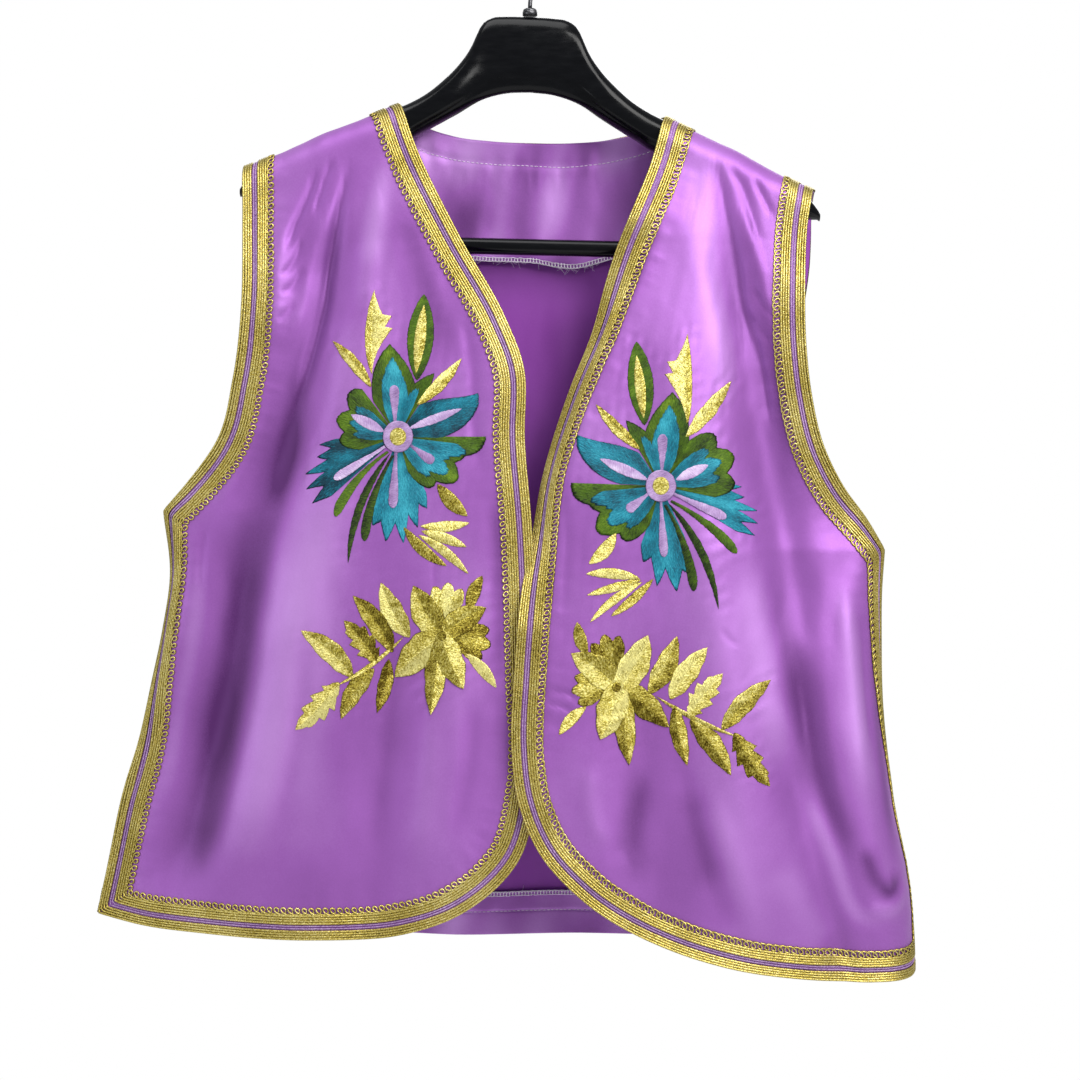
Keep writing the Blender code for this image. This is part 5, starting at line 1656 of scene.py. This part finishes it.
@dataclass
class Hanger:
    """A moulded suit hanger: neck plate, arms, trouser bar, ferrule and wire hook."""

    reach: float = 218.0
    half_depth: float = 14.0
    arm_height: float = 27.0
    bar_up: float = -240.0
    bar_radius: float = 6.2
    bar_reach: float = 182.0
    ferrule_top: float = -60.0
    ferrule_bottom: float = -66.2
    ferrule_radius: float = 5.6
    wire_radius: float = 1.6
    hook_radius: float = 20.0
    end_at: float = 194.0
    end_drop: float = 12.0
    dome_at: float = 196.0
    squareness: float = 0.82
    bar_bend: float = 16.0
    bar_gap: float = 3.1

    def top(self, across: Array) -> Array:
        """The neck plate's outline, then arms that carry the shoulders and round off at their ends."""
        span = np.abs(across)
        arm = through(SHOULDER, span) - SHOULDER_REST
        ends = self.end_drop * np.clip((span - self.end_at) / (self.reach - self.end_at), 0, 1) ** 2
        return np.where(span < 100, through(HANGER_NECK, span), arm - ends) - HANGER_TILT * across

    def underside(self, across: Array) -> Array:
        """The arch under the neck, then the arms' underside."""
        span = np.abs(across)
        arm = through(SHOULDER, span) - SHOULDER_REST - self.arm_height + 3.0 * ease((span - 150.0) / 60.0)
        share = ease((span - 80.0) / 24.0)
        return through(HANGER_UNDERSIDE, span) * (1 - share) + arm * share - HANGER_TILT * across

    def shell(self, looks: Looks) -> None:
        """Sections across the hanger: cos^n and sin^n ovals, with a shallow band along the lower edge."""
        turn = np.linspace(-1, 1, 181)
        across = self.reach * np.sin(turn * math.pi / 2) * 0.35 + self.reach * turn * 0.65
        top, bottom = self.top(across), self.underside(across)
        past = (np.abs(across) - self.dome_at).clip(0) / (self.reach - self.end_at)
        end = np.sqrt(np.clip(1 - past**2, 0.05, 1))
        neck = 0.72 + 0.28 * ease((np.abs(across) - 30.0) / 30.0)
        height = ((top - bottom) / 2 * end).clip(3.0)
        depth = (self.half_depth * end * neck).clip(3.0)
        middle = np.where(end < 1, top - height, (top + bottom) / 2)
        angle = np.linspace(0, math.tau, 48, endpoint=False) + math.pi / 2
        y, z = (np.sign(k) * np.abs(k) ** self.squareness for k in (np.cos(angle), np.sin(angle)))
        band = 0.86 + 0.14 * ease((z + 0.66) / 0.08)
        grid = np.stack([
            np.repeat(across[:, None], len(angle), axis=1), depth[:, None] * (y * band)[None],
            middle[:, None] + height[:, None] * z[None],
        ], axis=2)
        closed("hanger_shell", "hanger_body", "hanger_plastic", looks.plastic, grid)

    def bar(self, looks: Looks) -> None:
        """The rod under the arms, turned up at each end."""
        turns = np.radians(np.linspace(90, 0, 12))
        bend, points = self.bar_bend, []
        for sign in (-1, 1):
            top = float(self.underside(np.array([sign * self.bar_reach]))[0]) - self.bar_gap
            low = self.bar_up - HANGER_TILT * sign * self.bar_reach * 0.5
            out = self.bar_reach - bend
            corner = [(sign * (out + bend * math.sin(t)), 0.0, low + bend - bend * math.cos(t)) for t in turns]
            end = [(sign * self.bar_reach, 0.0, top), *corner]
            points += end if sign < 0 else end[::-1]
        path = evenly(np.array(points), 3.0)
        grid, chart = tube(path, np.tile([0.0, -1.0, 0.0], (len(path), 1)), self.bar_radius, 20)
        closed("hanger_rod", "hanger_bar", "hanger_plastic", looks.plastic, grid, chart)

    def hook(self, looks: Looks) -> None:
        """A wire that rises from the ferrule, swings out and turns over to the other side."""
        radius = self.hook_radius + self.wire_radius
        turn = np.radians(np.linspace(-58, 205, 60))
        arc = np.stack([radius * np.cos(turn), 0 * turn, radius * np.sin(turn) - self.hook_radius], axis=1)
        lean = np.array([-math.sin(turn[0]), 0.0, math.cos(turn[0])])
        start = np.array([0.0, 0.0, self.ferrule_top + 0.3])
        t = np.linspace(0, 1, 22)[:-1, None]
        one, two = start + [0, 0, 13.0], arc[0] - lean * 9.0
        stem = start * (1 - t) ** 3 + 3 * one * t * (1 - t) ** 2 + 3 * two * t**2 * (1 - t) + arc[0] * t**3
        path = np.concatenate([stem, arc])
        grid, chart = tube(path, np.tile([0.0, -1.0, 0.0], (len(path), 1)), self.wire_radius, 14)
        closed("hook_wire", "hanger_hook", "hook_steel", looks.steel, grid, chart)

    def ferrule(self, looks: Looks) -> None:
        """A domed collar: a profile of radius by height, turned round the wire's axis."""
        height = self.ferrule_top - self.ferrule_bottom
        share = np.array([0.02, 0.6, 0.9, 1.0, 1.0, 0.94, 0.95, 0.88, 0.68, 0.42, 0.1])
        rise = np.array([0.0, 0.0, 0.03, 0.1, 0.5, 0.56, 0.62, 0.8, 0.92, 0.98, 1.0])
        angle = np.linspace(0, math.tau, 40, endpoint=False)
        ring = np.stack([np.cos(angle), np.sin(angle)], axis=1)
        grid = np.zeros((len(share), len(angle), 3))
        grid[..., :2] = ring[None] * (share * self.ferrule_radius)[:, None, None]
        grid[..., 2] = (self.ferrule_bottom + rise * height)[:, None]
        closed("hook_collar", "hanger_ferrule", "hook_steel", looks.steel, grid)


# Studio


class Studio:
    """The camera at the picture's place, soft lights and a pale floor."""

    def camera(self) -> None:
        """Looks straight along +Y from the picture's distance."""
        data = bpy.data.cameras.new("camera")
        data.angle = math.radians(FIELD_OF_VIEW)
        camera = bpy.data.objects.new("camera", data)
        camera.location = np.array(CAMERA) * MM
        camera.rotation_euler = (math.pi / 2, 0, 0)
        bpy.context.scene.collection.objects.link(camera)
        bpy.context.scene.camera = camera

    def light(self, name: str, place: tuple, size: tuple, power: float, colour: tuple, aim: tuple) -> None:
        """One soft box that looks at a place on the waistcoat."""
        data = bpy.data.lights.new(name, "AREA")
        data.shape, data.size, data.size_y, data.energy, data.color = "RECTANGLE", *size, power, colour
        lamp = bpy.data.objects.new(name, data)
        lamp.location = place
        direction = np.array(aim) - np.array(place)
        pitch = math.atan2(math.hypot(direction[0], direction[1]), -direction[2])
        lamp.rotation_euler = (pitch, 0, math.atan2(direction[1], direction[0]) - math.pi / 2)
        bpy.context.scene.collection.objects.link(lamp)

    def build(self) -> None:
        """Sets the stage."""
        self.camera()
        middle = (0.0, 0.0, -0.45)
        self.light("key", (1.05, -1.5, 0.75), (1.3, 1.3), 46.0, (1.0, 0.99, 0.97), middle)
        self.light("fill", (-1.7, -1.2, -0.1), (0.8, 1.4), 7.0, (0.93, 0.96, 1.0), middle)
        self.light("top", (-0.2, -0.5, 1.2), (1.2, 0.8), 12.0, (1.0, 1.0, 1.0), middle)
        self.light("back", (0.4, 1.9, 0.5), (1.4, 1.2), 16.0, (1.0, 1.0, 1.0), middle)
        world = bpy.data.worlds.new("studio")
        bpy.context.scene.world = world
        world.use_nodes = True
        tree = world.node_tree
        soft, white = tree.nodes["Background"], tree.nodes.new("ShaderNodeBackground")
        soft.inputs["Color"].default_value, soft.inputs["Strength"].default_value = (0.95, 0.97, 1.0, 1.0), 0.36
        white.inputs["Color"].default_value, white.inputs["Strength"].default_value = (1.0, 1.0, 1.0, 1.0), 1.0
        mix, path = tree.nodes.new("ShaderNodeMixShader"), tree.nodes.new("ShaderNodeLightPath")
        tree.links.new(path.outputs["Is Camera Ray"], mix.inputs[0])
        tree.links.new(soft.outputs[0], mix.inputs[1])
        tree.links.new(white.outputs[0], mix.inputs[2])
        tree.links.new(mix.outputs[0], tree.nodes["World Output"].inputs[0])
        bpy.context.scene.view_settings.view_transform = "Standard"
        self.floor()

    def floor(self) -> None:
        """A pale round floor below the garment."""
        angle = np.linspace(0, math.tau, 96, endpoint=False)
        rings = np.array([0.01, 500.0, 1380.0, 1400.0])
        grid = np.zeros((len(rings), len(angle), 3))
        grid[..., :2] = np.stack([np.cos(angle), np.sin(angle)], axis=1)[None] * rings[:, None, None]
        grid[..., 2] = -1250.0
        mesh = bpy.data.meshes.new("floor")
        mesh.from_pydata((grid.reshape(-1, 3) * MM).tolist(), [], quads(*grid.shape[:2], True, True).tolist())
        floor = bpy.data.objects.new("floor", mesh)
        bpy.context.scene.collection.objects.link(floor)
        g = Graph("floor")
        place = g.place()
        colour = g.ramp(g.noise(place, 3.0, 3.0), ((0.3, (0.76, 0.76, 0.77)), (0.7, (0.82, 0.82, 0.82))))
        g.fill(g.shader, {"Base Color": colour, "Roughness": 0.75})
        mesh.materials.append(g.material)


def on_cloth(*rows: tuple) -> tuple[Crease, ...]:
    """Creases and painted shade bands placed on the flat cloth itself, where the picture doesn't show it: path, width
    and drop.
    """
    return tuple(Crease(*row, in_picture=False) for row in rows)


LEFT_CREASES = (
    Crease(((350, 146), (338, 195), (327, 250), (318, 310), (303, 365), (286, 420)), 5.5, 3.4, 0.25),
    Crease(((317, 158), (304, 195), (294, 218), (281, 252)), 3.6, 2.0, -0.2),
    Crease(((332, 150), (320, 180), (311, 215)), 3.8, 1.5),
    Crease(((328, 190), (312, 240), (300, 300), (284, 350)), 8.0, -2.0),
    Crease(((376, 170), (372, 215), (366, 260), (362, 320)), 8.5, -1.2),
    Crease(((300, 232), (288, 262), (275, 276)), 3.0, 1.2),
    Crease(((300, 262), (290, 282), (276, 292)), 3.2, 1.1),
    Crease(((292, 300), (280, 312), (272, 318)), 3.0, 0.8),
    Crease(((250, 470), (247, 520), (240, 570), (228, 630), (212, 700), (196, 760), (182, 830)), 16.0, 1.1, 0.2),
    Crease(((226, 500), (226, 560), (216, 620), (200, 690), (186, 740)), 13.0, 0.4),
    Crease(((288, 480), (278, 560), (262, 640), (248, 720), (226, 800), (206, 870)), 17.0, -1.4, -0.2),
    Crease(((310, 600), (300, 680), (292, 760), (276, 840)), 10.0, 1.1),
    Crease(((395, 590), (392, 660), (384, 760), (372, 860)), 11.0, 1.3),
    Crease(((432, 700), (428, 780), (418, 870)), 9.0, -1.0),
    Crease(((470, 690), (468, 760), (452, 850)), 8.0, 1.2),
    Crease(((460, 300), (470, 350), (474, 420), (478, 480)), 6.0, 1.1),
    Crease(((410, 200), (430, 270), (446, 330)), 9.0, -0.8),
    Crease(((200, 520), (196, 560), (196, 600)), 4.0, 1.0),
    Crease(((252, 402), (240, 440), (222, 480), (200, 512)), 6.0, -1.2),
    Crease(((433, 552), (434, 575), (433, 592)), 2.6, 0.7),
)
RIGHT_CREASES = (
    Crease(((714, 140), (722, 170), (730, 210), (740, 260), (746, 310), (756, 365)), 7.5, 2.4, -0.3),
    Crease(((724, 150), (745, 180), (756, 215), (764, 245)), 4.5, 1.2),
    Crease(((755, 168), (766, 190), (778, 214)), 3.4, 1.3),
    Crease(((738, 190), (752, 230), (764, 275), (772, 330)), 6.0, -1.4),
    Crease(((744, 290), (757, 330), (768, 380), (776, 430)), 5.0, 2.0, -0.3),
    Crease(((700, 180), (702, 240), (716, 320), (738, 400)), 13.0, -1.3),
    Crease(((757, 285), (766, 302), (776, 316)), 3.0, 1.1),
    Crease(((754, 310), (764, 328), (776, 342)), 3.0, 0.9),
    Crease(((776, 560), (782, 610), (795, 665), (803, 714), (814, 766), (838, 825), (870, 878)), 11.0, 1.5, -0.2),
    Crease(((795, 590), (812, 640), (824, 700), (842, 770), (862, 830), (884, 880)), 11.0, 0.6),
    Crease(((842, 566), (852, 630), (860, 700), (866, 760), (878, 820)), 9.0, -1.6),
    Crease(((868, 610), (872, 690), (878, 760)), 4.5, 1.2),
    Crease(((866, 903), (880, 914), (897, 911), (909, 893)), 7.0, -1.7),
    Crease(((886, 888), (898, 895), (910, 882)), 6.0, 1.5),
    Crease(((640, 760), (632, 820), (622, 870)), 10.0, 1.6),
    Crease(((672, 730), (690, 800), (712, 880), (730, 940)), 11.0, 1.5),
    Crease(((700, 780), (730, 860), (770, 950)), 12.0, -1.2),
    Crease(((590, 760), (590, 800), (604, 850)), 8.0, -1.0),
    Crease(((560, 470), (566, 540), (562, 620)), 5.0, 0.9),
    Crease(((548, 690), (566, 692), (580, 700)), 2.6, 1.1),
    Crease(((546, 704), (562, 706), (574, 712)), 2.4, 0.9),
    Crease(((724, 628), (729, 640), (738, 644)), 2.0, 0.8),
)
BACK_CREASES = on_cloth(
    (((-170, -200), (-186, -270), (-196, -350)), 7.0, 2.6),
    (((-120, -190), (-140, -260), (-160, -340)), 8.0, 2.2),
    (((-60, -240), (-66, -340), (-72, -460)), 12.0, -1.8),
    (((20, -260), (30, -380), (26, -520)), 13.0, 1.8),
    (((120, -195), (136, -270), (150, -360)), 7.0, 2.6),
    (((172, -215), (180, -290), (190, -380)), 7.0, 2.2),
    (((-230, -470), (-236, -560), (-252, -660)), 9.0, 2.4),
    (((214, -500), (222, -600), (236, -720)), 9.0, 2.6),
    (((-20, -560), (-24, -660), (-14, -750)), 11.0, 1.9),
    (((150, -520), (160, -620), (176, -740)), 10.0, -2.0),
)

# Painted shade bands on the fronts: painted shade (drop above 0) and painted highlight (below 0) in the satin's colour,
# with no change of form: path, width, drop, lean and ends.
LEFT_SHADE_BANDS = (
    Crease(((400, 190), (416, 255), (436, 320), (450, 380)), 17.0, 0.4),
    Crease(((300, 360), (286, 440), (268, 510)), 9.0, 0.5),
    Crease(
        ((298, 390), (282, 481), (262, 548), (246, 633), (235, 700), (223, 768), (205, 835), (172, 892)),
        21.0, 0.72, -0.45, 7.0,
    ),
    Crease(((232, 560), (222, 660), (206, 750), (184, 840)), 15.0, 0.2),
    Crease(((318, 480), (302, 560), (288, 640), (274, 720), (258, 800), (238, 880)), 16.0, -0.45),
    Crease(((202, 520), (190, 620), (172, 720), (150, 820)), 8.0, -0.3),
    Crease(((330, 460), (322, 600), (312, 700), (290, 830)), 18.0, -0.25),
    Crease(((496, 480), (501, 580), (498, 690)), 7.0, 0.55),
    Crease(((262, 190), (258, 280), (254, 360), (238, 430)), 5.0, 0.35),
    Crease(((385, 150), (376, 210), (366, 270)), 9.0, -0.4),
)
RIGHT_SHADE_BANDS = (
    Crease(((700, 140), (712, 250), (722, 340), (736, 430)), 15.0, -0.35),
    Crease(((735, 165), (757, 250), (772, 330), (786, 420), (794, 500)), 7.0, 0.4),
    Crease(((776, 560), (790, 640), (806, 730), (832, 810), (866, 880)), 14.0, 0.36, 0.3),
    Crease(((886, 580), (890, 700), (898, 800), (908, 880)), 8.0, 0.5),
    Crease(((866, 842), (880, 884), (894, 896), (905, 868)), 8.0, 0.8),
    Crease(((804, 780), (834, 856), (862, 918), (892, 932)), 8.0, -0.5),
    Crease(((690, 780), (700, 840), (716, 892)), 15.0, 0.4),
    Crease(((642, 770), (634, 840), (638, 886)), 11.0, 0.4),
    Crease(((742, 540), (760, 640), (774, 720), (790, 800)), 14.0, -0.35),
    Crease(((846, 580), (856, 680), (864, 780)), 7.0, -0.35),
    Crease(((546, 540), (541, 640), (546, 730)), 7.0, 0.3),
    Crease(((660, 180), (648, 240), (630, 300)), 8.0, 0.25),
    Crease(((770, 860), (800, 900), (836, 950)), 16.0, -0.25),
)
# Painted shade bands on the back, along its folds: painted shade (drop above 0) and painted highlight (below 0).
BACK_SHADE_BANDS = on_cloth(
    (((-150, -215), (-172, -420), (-224, -780)), 15.0, 0.5),
    (((148, -225), (168, -420), (196, -780)), 15.0, 0.5),
    (((-104, -300), (-118, -540), (-140, -780)), 15.0, -0.4),
    (((96, -300), (112, -540), (122, -780)), 15.0, -0.4),
)


def main() -> None:
    """Builds the sub-assemblies in order."""
    logging.basicConfig(level=logging.INFO, format="%(name)s: %(message)s")
    Studio().build()
    looks = Looks()
    left = Front(
        "satin_front_left", "front_left", 1, LEFT_CREASES, LEFT_SHADE_BANDS, FRONT_LEFT_FOLDS, outer=FRONT_LEFT_OUTER,
        other=BACK_LEFT_OUTER, edge_rows=FRONT_LEFT_EDGE, neck=NECK_AT_LEFT, depths=LEFT_DEPTH, corner=(-25, -716),
    )
    right = Front(
        "satin_front_right", "front_right", 1, RIGHT_CREASES, RIGHT_SHADE_BANDS, FRONT_RIGHT_FOLDS, outer=FRONT_RIGHT_OUTER,
        other=BACK_RIGHT_OUTER, edge_rows=FRONT_RIGHT_EDGE, neck=NECK_AT_RIGHT, depths=RIGHT_DEPTH, corner=(20, -705),
        turned=((-225, 0), (-265, 18), (-310, 46), (-360, 54), (-410, 54), (-450, 44), (-490, 20), (-525, 0)),
    )
    back = Back("satin_back", "back", -1, BACK_CREASES, BACK_SHADE_BANDS, BACK_FOLDS, columns=160, rows=200)
    braid = Braid()
    works = {
        "left": (left, (397, 436), LEFT_PETALS, LEFT_BLADES, (443, 634), LEFT_SPRAY_PETALS, LEFT_SPRAY),
        "right": (right, (661, 486), RIGHT_PETALS, RIGHT_BLADES, (618, 685), RIGHT_SPRAY_PETALS, RIGHT_SPRAY),
    }
    for side, (front, centre, petals, blades, low_centre, low_petals, low_blades) in works.items():
        mirrored = front is right
        flower = Embroidery(f"embroidery_flower_{side}", front, centre, mirrored, petals, with_button(blades, centre))
        spray = Embroidery(f"embroidery_spray_{side}", front, low_centre, mirrored, low_petals, low_blades)
        front.set_motif(np.concatenate([flower.draw(), spray.draw()]))
        shell = front.build(looks)
        trim = braid.build(f"braid_front_{side}", front, front.braid_runs(), front.seam, front.seam[::-1], looks)
        front.declare(shell, [trim, flower.build(looks), spray.build(looks)])
    shell = back.build(looks)
    trims = [braid.build(node, back, *ends, looks) for node, ends in back.runs().items()]
    neck = back.neck_line[(back.neck_line[:, 0] > -87) & (back.neck_line[:, 0] < 91)]
    free = curve(NECK_FACING_EDGE)
    neck_facing = Facing("neck_facing", "back_neck_facing", back, neck, free, True, 3.4, 0.19)
    hem = back.hem_line[::-1][14:-14]
    upper = back.braid_line([back.run(back.hem_line)], HEM_FACING_DEPTH, back.sides[1], back.sides[0])
    upper = evenly(upper)[::-1][14:-14]
    hem_facing = Facing("hem_facing", "back_hem_facing", back, upper, hem, False, 1.6, 0.46)
    for facing in (neck_facing, hem_facing):
        facing.build(looks)
    back.declare(shell, trims)
    hanger = Hanger()
    for make in (hanger.shell, hanger.bar, hanger.hook, hanger.ferrule):
        make(looks)


if __name__ == "__main__":
    main()
